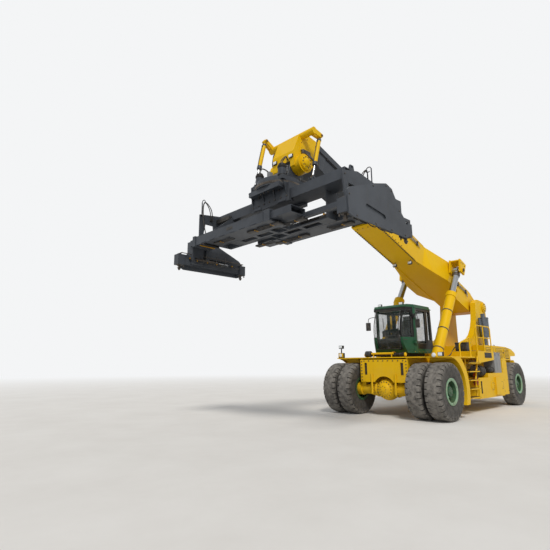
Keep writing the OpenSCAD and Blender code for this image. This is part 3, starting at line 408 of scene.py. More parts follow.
def bent(corners, reach, steps=6):
    """A bent bar: straight between its corners, each one rounded by a parabola that starts a given reach before it."""
    c = np.asarray(corners, float)
    path = [c[0]]
    t = np.linspace(0, 1, steps + 1)[:, None]
    for a, b, d in zip(c[:-2], c[1:-1], c[2:]):
        u, v = (a - b) / np.linalg.norm(a - b), (d - b) / np.linalg.norm(d - b)
        path.extend((1 - t) ** 2 * (b + u * reach) + 2 * t * (1 - t) * b + t ** 2 * (b + v * reach))
    return np.array([*path, c[-1]])


def build(form, name, body, material, slot, sharp=32, merge=True):
    """Makes the piece from the gathered arrays, which are measured from the front axle: faces turned outwards, edges
    past the angle kept sharp."""
    mesh = bpy.data.meshes.new(name)
    mesh.from_pydata((np.concatenate(form.points) + (FRONT_X, 0.0, 0.0)).tolist(), [], form.faces)
    if merge:
        bm = bmesh.new()
        bm.from_mesh(mesh)
        bmesh.ops.remove_doubles(bm, verts=bm.verts, dist=1e-6)
        bmesh.ops.recalc_face_normals(bm, faces=bm.faces)
        bm.to_mesh(mesh)
        bm.free()
    mesh.polygons.foreach_set("use_smooth", np.ones(len(mesh.polygons), bool))
    mesh.set_sharp_from_angle(angle=math.radians(sharp))
    piece = bpy.data.objects.new(name, mesh)
    bpy.context.scene.collection.objects.link(piece)
    mesh.materials.append(material)
    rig.ride(piece, body)
    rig.slot(piece, slot)
    return piece


def linear(hex_colour):
    """An sRGB hex colour as three linear numbers: a channel up to 0.04045 is divided by 12.92, and one above it is
    raised by 0.055, divided by 1.055 and taken to the power 2.4."""
    c = np.array([int(hex_colour[i:i + 2], 16) for i in (1, 3, 5)]) / 255
    return np.where(c <= .04045, c / 12.92, ((c + .055) / 1.055) ** 2.4).tolist()


def fill(tree, node, inputs):
    """Fills a node's sockets with numbers, colours, hex colours or other nodes' outputs."""
    for key, value in inputs.items():
        socket = node.inputs[key]
        if isinstance(value, bpy.types.NodeSocket):
            tree.links.new(value, socket)
        elif socket.type == "RGBA":
            socket.default_value = (*(linear(value) if isinstance(value, str) else value[:3]), 1.0)
        else:
            socket.default_value = value


def add_node(tree, kind, inputs=None, **settings):
    """Adds one node with its settings and fills its sockets."""
    node = tree.nodes.new(kind)
    for key, value in settings.items():
        setattr(node, key, value)
    fill(tree, node, inputs or {})
    return node


def blank(name):
    """A new material, with its shader and the place of each point on the machine in metres."""
    material = bpy.data.materials.new(name)
    material.use_nodes = True
    tree = material.node_tree
    return material, tree, tree.nodes["Principled BSDF"], add_node(tree, "ShaderNodeTexCoord").outputs["Object"]


def clouds(tree, place, scale, low, high, top, detail=5.0, rough=.65):
    """Cloudy noise cut to run from 0 at low to top at high."""
    noise = add_node(tree, "ShaderNodeTexNoise",
                     {"Vector": place, "Scale": scale, "Detail": detail, "Roughness": rough}).outputs["Fac"]
    return add_node(tree, "ShaderNodeMapRange",
                    {"Value": noise, "From Min": low, "From Max": high, "To Max": top}).outputs[0]


def coated(tree, base, *coats):
    """A colour with others laid over it in turn, each as far as its own amount lets it show."""
    for amount, colour in coats:
        base = add_node(tree, "ShaderNodeMix", {"Factor": amount, "A": base, "B": colour},
                        data_type="RGBA").outputs["Result"]
    return base


def enamel(name, colour, faded, rough=.36, dust=.5, chips=.35, coat=.2, streaks=.5, glazing=None):
    """Sprayed machine enamel. The sun has faded it in metre-wide patches, rain has left brown streaks 60 mm wide, road
    dust lies on it towards the ground, and stones have chipped spots of 15 to 40 mm down to the dark primer. glazing
    gives where the frame round the panes is black: ahead of an x over a sill, behind an x over the floor, and all
    below the roof."""
    material, tree, shader, place = blank(name)
    long_way = add_node(tree, "ShaderNodeMapping", {"Vector": place, "Scale": (9.0, 9.0, .7)}).outputs[0]
    base = coated(tree, colour, (clouds(tree, place, .8, .38, .66, .8), faded),
                  (clouds(tree, long_way, 1.6, .52, .8, streaks * .5, 4.0), "#4A4033"))
    axes = add_node(tree, "ShaderNodeSeparateXYZ", {"Vector": place}).outputs
    if glazing:
        door_x, sill_z, side_x, floor_z, top_z = glazing
        tests = [add_node(tree, "ShaderNodeMath", {0: axes[axis], 1: limit}, operation=test).outputs[0]
                 for axis, limit, test in (("X", door_x, "GREATER_THAN"), ("Z", sill_z, "GREATER_THAN"),
                                           ("X", side_x, "LESS_THAN"), ("Z", floor_z, "GREATER_THAN"),
                                           ("Z", top_z, "LESS_THAN"))]
        front, rear = (add_node(tree, "ShaderNodeMath", {0: p, 1: q}, operation="MULTIPLY").outputs[0]
                       for p, q in (tests[:2], tests[2:4]))
        either = add_node(tree, "ShaderNodeMath", {0: front, 1: rear}, operation="MAXIMUM").outputs[0]
        mask = add_node(tree, "ShaderNodeMath", {0: either, 1: tests[4]}, operation="MULTIPLY").outputs[0]
        base = coated(tree, base, (mask, "#151616"))
    low = add_node(tree, "ShaderNodeMapRange",
                   {"Value": axes["Z"], "From Min": 2.2, "From Max": .2, "To Min": .06, "To Max": 1.0}).outputs[0]
    film = add_node(tree, "ShaderNodeMath", {0: low, 1: clouds(tree, place, 5.0, .35, .75, dust, 6.0, .7)},
                    operation="MULTIPLY").outputs[0]
    gloss = add_node(tree, "ShaderNodeMapRange", {"Value": film, "To Min": rough, "To Max": .85})
    # Orange peel of about 1 mm, drawn at 15 mm so that it shows
    peel = add_node(tree, "ShaderNodeTexNoise", {"Vector": place, "Scale": 65.0, "Detail": 2.0})
    bump = add_node(tree, "ShaderNodeBump", {"Height": peel.outputs["Fac"], "Strength": .06, "Distance": .004})
    fill(tree, shader, {
        "Base Color": coated(tree, base, (film, "#A08C70"),
                             (clouds(tree, place, 22.0, .69, .73, chips, 3.0, .75), "#3A2C20")),
        "Roughness": gloss.outputs[0], "Normal": bump.outputs[0], "Specular IOR Level": .16,
        "Coat Weight": coat, "Coat Roughness": .22})
    return material


def tread_rubber(name, colour, dust):
    """Carbon black rubber, grey brown where it runs on the ground and dark in the slots: the attribute wear is 1 on the
    crown and 0 in a slot. Abrasion marks of about 20 mm show as bumps."""
    material, tree, shader, place = blank(name)
    wear = add_node(tree, "ShaderNodeAttribute", attribute_name="wear").outputs["Fac"]
    amount = add_node(tree, "ShaderNodeMath", {0: wear, 1: clouds(tree, place, 7.0, .25, .6, 1.0, 6.0, .7)},
                      operation="MULTIPLY").outputs[0]
    grit = add_node(tree, "ShaderNodeTexNoise", {"Vector": place, "Scale": 48.0, "Detail": 4.0, "Roughness": .7})
    bump = add_node(tree, "ShaderNodeBump", {"Height": grit.outputs["Fac"], "Strength": .15, "Distance": .006})
    fill(tree, shader, {"Base Color": coated(tree, colour, (amount, dust)), "Normal": bump.outputs[0],
                        "Roughness": .88, "Specular IOR Level": .3})
    return material


def bare_metal(name, colour, rough, grain=1.0, metallic=1.0, stain=.3):
    """Uncoated steel, ground or brushed so that its grain runs along the machine, with oil stains a hand wide."""
    material, tree, shader, place = blank(name)
    stretch = add_node(tree, "ShaderNodeMapping", {"Vector": place, "Scale": (1.0, grain, grain)}).outputs[0]
    lines = add_node(tree, "ShaderNodeTexNoise", {"Vector": stretch, "Scale": 12.0, "Detail": 4.0}).outputs["Fac"]
    finish = add_node(tree, "ShaderNodeMapRange", {"Value": lines, "To Min": rough * .7, "To Max": rough * 1.5})
    fill(tree, shader, {"Base Color": coated(tree, colour, (clouds(tree, place, 9.0, .45, .7, stain), "#2B2622")),
                        "Roughness": finish.outputs[0], "Metallic": metallic})
    return material


def moulded(name, colour, rough, pore=40.0, depth=.25, sheen=0.0):
    """Moulded plastic, hose cover or vinyl: one colour with dust caught in it and a leathered grain. The grain is about
    1 mm on the real piece and is drawn at 20 mm so that it shows."""
    material, tree, shader, place = blank(name)
    cells = add_node(tree, "ShaderNodeTexVoronoi", {"Vector": place, "Scale": pore}).outputs["Distance"]
    bump = add_node(tree, "ShaderNodeBump", {"Height": cells, "Strength": depth, "Distance": .003})
    fill(tree, shader, {
        "Base Color": coated(tree, colour, (clouds(tree, place, 6.0, .4, .75, .25, 6.0), "#8C8172")),
        "Normal": bump.outputs[0], "Roughness": rough, "Sheen Weight": sheen})
    return material


def safety_glass(name, colour, alpha):
    """Laminated safety glass, dark and greenish against the cab's inside, under a cloudy film of dust."""
    material, tree, shader, place = blank(name)
    film = add_node(tree, "ShaderNodeTexNoise", {"Vector": place, "Scale": 4.0, "Detail": 5.0, "Roughness": .7})
    film = add_node(tree, "ShaderNodeMapRange", {"Value": film.outputs["Fac"], "From Min": .4, "From Max": .8,
                                                 "To Min": alpha, "To Max": alpha + .12})
    fill(tree, shader, {"Alpha": film.outputs[0], "Base Color": colour, "Roughness": .04, "Coat Weight": .6})
    return material


def lens(name, colour):
    """Fluted lamp glass or acrylic with ribs 15 mm apart, with painted highlights: white streaks along the ribs stand
    in for the glint of the bright reflector behind.
    """
    material, tree, shader, place = blank(name)
    ribs = add_node(tree, "ShaderNodeTexWave", {"Vector": place, "Scale": 10.0}, bands_direction="Z").outputs["Fac"]
    bump = add_node(tree, "ShaderNodeBump", {"Height": ribs, "Strength": .3, "Distance": .004})
    # Painted highlight: up to a quarter white along the ribs, where the reflector would glint through
    amount = add_node(tree, "ShaderNodeMapRange", {"Value": ribs, "To Max": .25}).outputs[0]
    fill(tree, shader, {"Base Color": coated(tree, colour, (amount, "#FFFFFF")), "Normal": bump.outputs[0],
                        "Roughness": .12})
    return material


def seen_straight(tree):
    """1 for rays that the camera sends, also by way of a mirror or a pane, and 0 for the light that falls on things."""
    path = add_node(tree, "ShaderNodeLightPath").outputs
    seen = path["Is Camera Ray"]
    for kind in ("Is Glossy Ray", "Is Transmission Ray"):
        seen = add_node(tree, "ShaderNodeMath", {0: seen, 1: path[kind]}, operation="MAXIMUM").outputs[0]
    return seen


FINISH = {}
# The record's slot that a finish belongs to, where it has another name
SLOT_OF = {"rim_paint": "green_paint", "cab_paint": "green_paint", "red_paint": "yellow_paint",
           "stainless": "bright_steel", "brass": "bright_steel", "hose_rubber": "black_plastic",
           "seat_vinyl": "black_plastic", "clear_lens": "glass", "amber_lens": "glass", "red_lens": "glass"}


def make(form, name, body, finish, sharp=32):
    """Builds a piece in one of the finishes and names the record's slot that it takes it from."""
    return build(form, name, body, FINISH[finish], SLOT_OF.get(finish, finish), sharp)


def make_all(body, *rows, place=None):
    """Makes pieces that ride one body, each row a form, its name and its finish, carried there by a matrix."""
    for form, name, finish in rows:
        make(form.turned(place) if place else form, name, body, finish)


class StackerPaint(bpy.types.PropertyGroup):
    """Colours of the machine's enamels and rubber."""
    yellow: bpy.props.FloatVectorProperty(name="Machine yellow",
        description="Enamel of the chassis and the outer boom", subtype="COLOR", min=0, max=1,
        default=linear("#DEB000"))
    slate: bpy.props.FloatVectorProperty(name="Slate grey", description="Enamel of the spreader and the inner boom",
        subtype="COLOR", min=0, max=1, default=linear("#393D43"))
    green: bpy.props.FloatVectorProperty(name="Dark green", description="Enamel of the cab and the wheel discs",
        subtype="COLOR", min=0, max=1, default=linear("#17492F"))
    rim: bpy.props.FloatVectorProperty(name="Rim green", description="Faded enamel of the rim flanges",
        subtype="COLOR", min=0, max=1, default=linear("#6F9A7C"))
    rubber: bpy.props.FloatVectorProperty(name="Tyre rubber", description="Clean rubber in the slots", subtype="COLOR",
        min=0, max=1, default=linear("#282726"))
    dust: bpy.props.FloatVectorProperty(name="Ground dust", description="Dust on the tyres' crowns", subtype="COLOR",
        min=0, max=1, default=linear("#7F7B75"))


class STACKER_OT_finishes(bpy.types.Operator):
    """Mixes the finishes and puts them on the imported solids"""
    bl_idname = "stacker.finishes"
    bl_label = "Finishes"

    def execute(self, context):
        paint = context.scene.stacker_paint
        yellow, slate, green, rim = list(paint.yellow), list(paint.slate), list(paint.green), list(paint.rim)
        FINISH.update(
            # Sprayed two-pack enamel, glossy where clean
            yellow_paint=enamel("machine yellow enamel", yellow, "#E2B812", .45, .22, .25, 0.0, .2),
            slate_paint=enamel("slate grey enamel", slate, "#4B5057", .42, .2, .2, .05, .3),
            green_paint=enamel("dark green enamel", green, "#22573B", .36, .35, .2, .2, .35),
            cab_paint=enamel("dark green cab enamel", green, "#22573B", .36, .35, .2, .2, .35,
                             (FRONT_X - .55, 2.45, FRONT_X - .72, 2.08, 3.43)),
            rim_paint=enamel("faded green rim enamel", rim, "#8BAD92", .5, .6, .3, .05, .5),
            black_paint=enamel("satin black enamel", "#1B1B1C", "#2A2A2B", .5, .35, .1, .05, .3),
            grey_paint=enamel("light grey enamel", "#7B7D7F", "#8F9192", .45, .35, .2, .1, .4),
            dark_grey_paint=bare_metal("heat blued steel sheet", "#6C7176", .3, stain=.35),
            red_paint=enamel("fire red enamel", "#8E1B16", "#A52A20", .35, .4, .1, .2, .3),
            tyre=tread_rubber("dusty tread rubber", list(paint.rubber), list(paint.dust)),
            # Ground and hard chromed, so it mirrors the sky in a long line
            bright_steel=bare_metal("hard chromed rod steel", "#9A9C9E", .2, stain=.15),
            cast_steel=bare_metal("worn forged steel", "#5A544E", .5, metallic=.8, stain=.5),
            grey_iron=bare_metal("oiled grey cast iron", "#55565A", .55, metallic=.7, stain=.5),
            stainless=bare_metal("brushed stainless sheet", "#A9A7A2", .3, grain=6.0, stain=.45),
            brass=bare_metal("yellow zinc plated fitting", "#B98A2E", .32, stain=.35),
            glass=safety_glass("laminated safety glass", "#33403C", .16),
            black_plastic=moulded("grained black ABS", "#1A1A1B", .55),
            hose_rubber=moulded("hydraulic hose rubber", "#161616", .5, 60.0, .15),
            seat_vinyl=moulded("black seat vinyl", "#202124", .6, 55.0, .4, .2),
            clear_lens=lens("fluted lamp glass", "#DDE3E6"),
            amber_lens=lens("amber acrylic", "#E07A10"),
            red_lens=lens("red acrylic", "#9E1512"),
        )
        for row in frame["record"]["subparts"]:
            node = frame["nodes"][row["node"]]
            node.data.materials.clear()
            node.data.materials.append(FINISH[row["material_slot"]])
        for name in ("cab_body", "cab_door", "cab_roof"):
            frame["nodes"][name].data.materials[0] = FINISH["cab_paint"]
        return {"FINISHED"}


class StackerWheels(bpy.types.PropertyGroup):
    """Sizes of the tyres' tread."""
    pitches: bpy.props.IntProperty(name="Slots", description="Shoulder slots on each side of a tyre", min=12, max=60,
        default=28)
    slot_depth: bpy.props.FloatProperty(name="Slot depth", description="Depth of the shoulder slots", unit="LENGTH",
        min=.005, max=.06, default=.018)
    slot_share: bpy.props.FloatProperty(name="Slot share", description="Share of a pitch that the slot takes",
        subtype="FACTOR", min=.1, max=.6, default=.14)


# Half section of a tyre: distance from its middle plane and radius, bead to crown, in metres
TYRE_HALF = np.array([(.176, .337), (.196, .352), (.204, .378), (.212, .41), (.224, .45), (.2365, .5), (.2435, .555),
                      (.2448, .6), (.244, .65), (.2415, .69), (.2445, .696), (.244, .712), (.2395, .718), (.2385, .75),
                      (.2335, .778), (.222, .799), (.203, .8125), (.178, .818), (.15, .8192), (.124, .8197),
                      (.12, .8198), (.06, .82), (0.0, .82)])
# How far in each of those points goes where there is a slot, as a share of the slot's depth
TYRE_CUT = np.array([0] * 12 + [.55, 1, 1, 1, 1, 1, 1, 0, 0, 0, 0], float)
# Radius and width that the half section is written for, and the share of a pitch that a slot's wall leans over
DRAWN_R, DRAWN_W, WALL = .82, .49, .035


def tyre(form, wear, centre, wheels):
    """One tyre: its half section turned about y, with slots let into both shoulders. In a slot each point moves in
    along the section's normal by the slot's depth. The slots of the two shoulders are half a pitch apart."""
    n = wheels.pitches
    s = wheels.slot_share / 2
    e = s + WALL
    one = np.array([-s, 0, s, e, .25, .5 - e, .5 - s, .5, .5 + s, .5 + e, .75, 1 - e])
    angle = ((np.arange(n)[:, None] + one[None]) / n * 2 * np.pi).ravel()
    here = np.tile([1, 1, 1, 0, 0, 0, 0, 0, 0, 0, 0, 0], n).astype(float)
    there = np.tile([0, 0, 0, 0, 0, 0, 1, 1, 1, 0, 0, 0], n).astype(float)
    section = np.concatenate([TYRE_HALF, (TYRE_HALF * (-1, 1))[-2::-1]])
    share = np.concatenate([TYRE_CUT, TYRE_CUT[-2::-1]])
    which = np.concatenate([np.ones(len(TYRE_HALF)), np.zeros(len(TYRE_HALF) - 1)])
    step = np.gradient(section, axis=0)
    normal = np.stack([-step[:, 1], step[:, 0]], 1)
    normal /= np.linalg.norm(normal, axis=1)[:, None]
    normal *= -np.sign((normal * (section - (0, .6))).sum(1))[:, None]
    cutting = share[:, None] * (which[:, None] * here[None] + (1 - which[:, None]) * there[None])
    flat = section[:, None, :] + normal[:, None, :] * (cutting * wheels.slot_depth)[..., None]
    radius = flat[..., 1] * (WHEEL_R / DRAWN_R)
    points = np.stack([radius * np.cos(angle), flat[..., 0] * (TYRE_W / DRAWN_W), radius * np.sin(angle)], -1)
    form.add(points + np.asarray(centre), [grid_faces(len(section), len(angle))])
    crown = np.clip((section[:, 1] - .6) / .2, .35, 1.0)
    wear.append((crown[:, None] * (1 - .9 * np.minimum(cutting, 1))).ravel())


class STACKER_OT_tyres(bpy.types.Operator):
    """Builds the six tyres with their shoulder slots"""
    bl_idname = "stacker.tyres"
    bl_label = "Tyres"

    def execute(self, context):
        wheels = context.scene.stacker_wheels
        for side, sign in (("left", 1), ("right", -1)):
            for name, body, node, middles in (
                    ("front_tread_", "front_wheels_", "front_tyres_", ((0, OUTER_Y), (0, INNER_Y))),
                    ("rear_tread_", "rear_wheel_", "rear_tyre_", ((STEER_X, STEER_Y),))):
                form, wear = Form(), []
                for x, y in middles:
                    tyre(form, wear, (x, sign * y, WHEEL_R), wheels)
                piece = build(form, name + side, body + side, FINISH["tyre"], "tyre", 50, merge=False)
                layer = piece.data.attributes.new("wear", "FLOAT", "POINT")
                layer.data.foreach_set("value", np.concatenate(wear))
                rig.replaces(piece, node + side)
        return {"FINISHED"}


class StackerStage(bpy.types.PropertyGroup):
    """The camera's lens and the lamps."""
    lens: bpy.props.FloatProperty(name="Lens", description="Focal length on a sensor 36 mm wide, in millimetres",
        min=10, max=200, default=27.77)
    sun: bpy.props.FloatProperty(name="Sun", description="Strength of the large soft lamp", min=0, max=10, default=2.1)
    sky: bpy.props.FloatProperty(name="Sky", description="Strength of the light from all round", min=0, max=3,
        default=.55)


# Where the camera stood, measured from the front axle, and its heading, pitch and roll in degrees, both fitted to the
# places of the wheels and the locks in the photograph
CAMERA_AT = (12.29, 7.47, 1.61)
CAMERA_TURN = (225.82, 11.86, -.2)
SENSOR = 36.0


class STACKER_OT_camera(bpy.types.Operator):
    """Stands the camera where the photograph was taken"""
    bl_idname = "stacker.camera"
    bl_label = "Camera"

    def execute(self, context):
        yaw, pitch, roll = np.radians(CAMERA_TURN)
        ahead = np.array([np.cos(pitch) * np.cos(yaw), np.cos(pitch) * np.sin(yaw), np.sin(pitch)])
        right = np.cross(ahead, [0, 0, 1])
        right /= np.linalg.norm(right)
        up = np.cross(right, ahead)
        right, up = right * np.cos(roll) + up * np.sin(roll), up * np.cos(roll) - right * np.sin(roll)
        camera = bpy.data.objects.new("camera", bpy.data.cameras.new("camera"))
        camera.data.sensor_fit, camera.data.sensor_width = "HORIZONTAL", SENSOR
        camera.data.lens = context.scene.stacker_stage.lens
        camera.data.clip_end = 500.0
        place = Matrix(np.column_stack([right, up, -ahead]).tolist()).to_4x4()
        place.translation = Vector(CAMERA_AT) + Vector((FRONT_X, 0, 0))
        camera.matrix_world = place
        context.scene.collection.objects.link(camera)
        context.scene.camera = camera
        return {"FINISHED"}


class StackerFittings(bpy.types.PropertyGroup):
    """Sizes of what repeats on the machine."""
    wheel_nuts: bpy.props.IntProperty(name="Wheel nuts", description="Nuts round a wheel disc", min=8, max=32,
        default=20)
    ring_bolts: bpy.props.IntProperty(name="Ring bolts", description="Bolts round the slewing ring", min=16, max=72,
        default=36)
    hose: bpy.props.FloatProperty(name="Hose", description="Outer diameter of the work hoses", unit="LENGTH", min=.015,
        max=.05, default=.032)
    bar_pitch: bpy.props.FloatProperty(name="Grating pitch", description="Distance between the grating's bars",
        unit="LENGTH", min=.03, max=.2, default=.06)


def on_boom(points):
    """Points given along the boom, across it and square to it, carried to the boom's parked angle."""
    p = np.atleast_2d(np.asarray(points, float))
    c, s = math.cos(BOOM_ANGLE), math.sin(BOOM_ANGLE)
    x = PIVOT[0] + p[:, 0] * c - p[:, 2] * s
    z = PIVOT[2] + p[:, 0] * s + p[:, 2] * c
    return np.stack([x, p[:, 1], z], 1)


BOOM = placed(PIVOT, -BOOM_ANGLE)


def loose_hose(name, body, knots, radius):
    """A hose that leaves its body at the first knot and goes back into it at the last, declared with its own length."""
    path = smooth_path(knots, 48)
    piece = make(tube(Form(), path, radius, 14), name, body, "hose_rubber")
    route = path + (FRONT_X, 0.0, 0.0)
    length = float(np.linalg.norm(np.diff(route, axis=0), axis=1).sum())
    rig.cord(piece, route[0].tolist(), length, radius * 2, "object", "stiff", "hanging", path=route.tolist())


class STACKER_OT_hoses(bpy.types.Operator):
    """Hangs the loose work hoses at the boom head, on the yoke and on the spreader"""
    bl_idname = "stacker.hoses"
    bl_label = "Loose hoses"

    def execute(self, context):
        r = context.scene.stacker_fittings.hose / 2
        for k in range(3):
            # Near side of the head: down from the pipes' ends, bowed out, and back to the block over the pin
            loose_hose("head_hose_near_%d" % k, "boom_extension",
                [(3.8 + .07 * k, .4, 7.12 + .02 * k), (3.81 + .07 * k, .49, 7.1 + .02 * k),
                (3.9 + .08 * k, .56 + .02 * k, 6.93), (4.05 + .08 * k, .55 + .02 * k, 7.02),
                (4.16 + .07 * k, .47, 7.2), (4.18 + .07 * k, .4, 7.24)], r)
            # Far side: a long loop between the lever's foot and the head
            loose_hose("head_hose_far_%d" % k, "boom_extension",
                [(3.95 + .06 * k, -.4, 7.38), (3.96 + .06 * k, -.5, 7.36), (4.1 + .06 * k, -.62 - .03 * k, 7.1),
                (4.32 + .05 * k, -.64 - .03 * k, 7.16), (4.46 + .05 * k, -.52, 7.4), (4.47 + .05 * k, -.4, 7.44)], r)
        for s in (1, -1):
            # Slewing motor's hoses, up from its port and over to the tongue's side
            side = "left" if s > 0 else "right"
            for k in range(2):
                loose_hose("motor_hose_%s_%d" % (side, k), "yoke",
                    [(5.16 + .05 * k, s * .42, 6.62), (5.15 + .05 * k, s * .42, 6.7),
                    (5.05 + .05 * k, s * (.45 + .04 * k), 6.82), (4.92 + .05 * k, s * .4, 6.78),
                    (4.84 + .03 * k, s * .31, 6.62), (4.8 + .03 * k, s * .24, 6.56)], r * .8)
            # Spreader end: up from the portal through the mast's eye and down to the sleeve
            end, x = ("near", 4.05) if s > 0 else ("far", 5.71)
            for k in range(2):
                loose_hose("mast_hose_%s_%d" % (end, k), "spreader", [(x + s * (.28 + .05 * k), s * 2.31, 5.7),
                    (x + s * (.27 + .05 * k), s * 2.24, 5.72), (x + s * (.16 + .04 * k), s * (2.17 - .03 * k), 5.98),
                    (x + s * (.02 + .02 * k), s * 2.2, 6.18), (x - s * (.06 + .02 * k), s * 2.16, 5.95),
                    (x - s * .06, s * 2.12, 5.55), (x - s * .02, s * 2.1, 5.3), (x + s * .02, s * 2.1, 5.18)], r * .8)
        return {"FINISHED"}


# Lock ring of a rim: how far out from the tyre's middle plane, and radius
LOCK_RING = ((.196, .306), (.212, .303), (.226, .318), (.231, .335), (.236, .352), (.236, .371), (.228, .383),
    (.214, .386), (.205, .381), (.205, .33), (.196, .306))


def outwards(y, s, profile):
    """A profile whose distances run outwards from a plane at y, on the left for s = 1 and on the right for -1."""
    return [(y + s * d, r) for d, r in profile]


class STACKER_OT_wheels(bpy.types.Operator):
    """Fits the lock rings, hubs and nuts to the wheels"""
    bl_idname = "stacker.wheels"
    bl_label = "Rims and hubs"

    def execute(self, context):
        nuts = context.scene.stacker_fittings.wheel_nuts
        for side, s in (("left", 1), ("right", -1)):
            body = "front_wheels_" + side
            ring, hub, bolts, dull = (Form() for _ in range(4))
            y, c = s * OUTER_Y, (0, 0, WHEEL_R)
            # Lock ring over the flange and the well behind it down to the disc
            lathe(ring, outwards(y, s, LOCK_RING), c)
            lathe(hub, outwards(y, s, ((.205, .3), (.198, .3035), (.05, .3035), (.043, .296), (.046, .288),
                (.19, .294), (.205, .3))), c)
            for a in np.linspace(0, 2 * np.pi, 4, endpoint=False):
                lug = box(Form(), (-.03, y + s * .195, .312), (.03, y + s * .24, .348), .008)
                ring.join(lug.turned(placed(c, a + .4)))
            make(ring, "front_lock_ring_" + side, body, "rim_paint")
            # Hub reduction gear: stepped housing, bolted cap and plug
            closed_lathe(hub, outwards(y, s, ((.038, .285), (.052, .28), (.055, .208), (.062, .198), (.12, .19),
                (.128, .182), (.132, .15), (.168, .14), (.178, .128), (.18, .06), (.19, .052), (.192, .03))), c)
            make(hub, "front_hub_" + side, body, "green_paint")
            hexagons(bolts, circle(.245, nuts, (0, y + s * .054, WHEEL_R), 1), 2 * s, .036, .03)
            hexagons(dull, circle(.166, 12, (0, y + s * .128, WHEEL_R), 1), 2 * s, .022, .014)
            hexagons(dull, circle(.1, 8, (0, y + s * .179, WHEEL_R), 1), 2 * s, .018, .012)
            tube(dull, [(0.0, y + s * .19, WHEEL_R - .31), (0, y + s * .235, WHEEL_R - .325),
                (0, y + s * .25, WHEEL_R - .33)], [.006, .006, .009], 8)
            make(bolts, "front_nuts_" + side, body, "green_paint")
            make(dull, "front_cap_screws_" + side, body, "cast_steel")
            body = "rear_wheel_" + side
            ring, hub, bolts, lobes = (Form() for _ in range(4))
            y, c = s * STEER_Y, (STEER_X, 0, WHEEL_R)
            lathe(ring, outwards(y, s, LOCK_RING), c)
            make(ring, "rear_lock_ring_" + side, body, "rim_paint")
            closed_lathe(hub, outwards(y, s, ((.078, .16), (.095, .158), (.11, .145), (.15, .135), (.165, .12),
                (.17, .07), (.19, .06), (.194, .04))), c)
            make(hub, "rear_hub_" + side, body, "green_paint")
            # Pale webs between the disc's hand holes
            a = np.linspace(-1, 1, 9)
            outline = np.concatenate([np.stack([.052 * a * (1 - .25 * a ** 2), .292 - .012 * a ** 2], 1),
                                      np.stack([.03 * a[::-1], .172 + .012 * a[::-1] ** 2], 1)])
            for k in range(10):
                web = prism(Form(), outline, *sorted((y + s * .07, y + s * .096)), 1, .006)
                lobes.join(web.turned(placed(c, k * math.pi / 5)))
            make(lobes, "rear_disc_webs_" + side, body, "rim_paint")
            hexagons(bolts, circle(.205, 10, (STEER_X, y + s * .095, WHEEL_R), 1), 2 * s, .036, .03)
            make(bolts, "rear_nuts_" + side, body, "cast_steel")
        return {"FINISHED"}


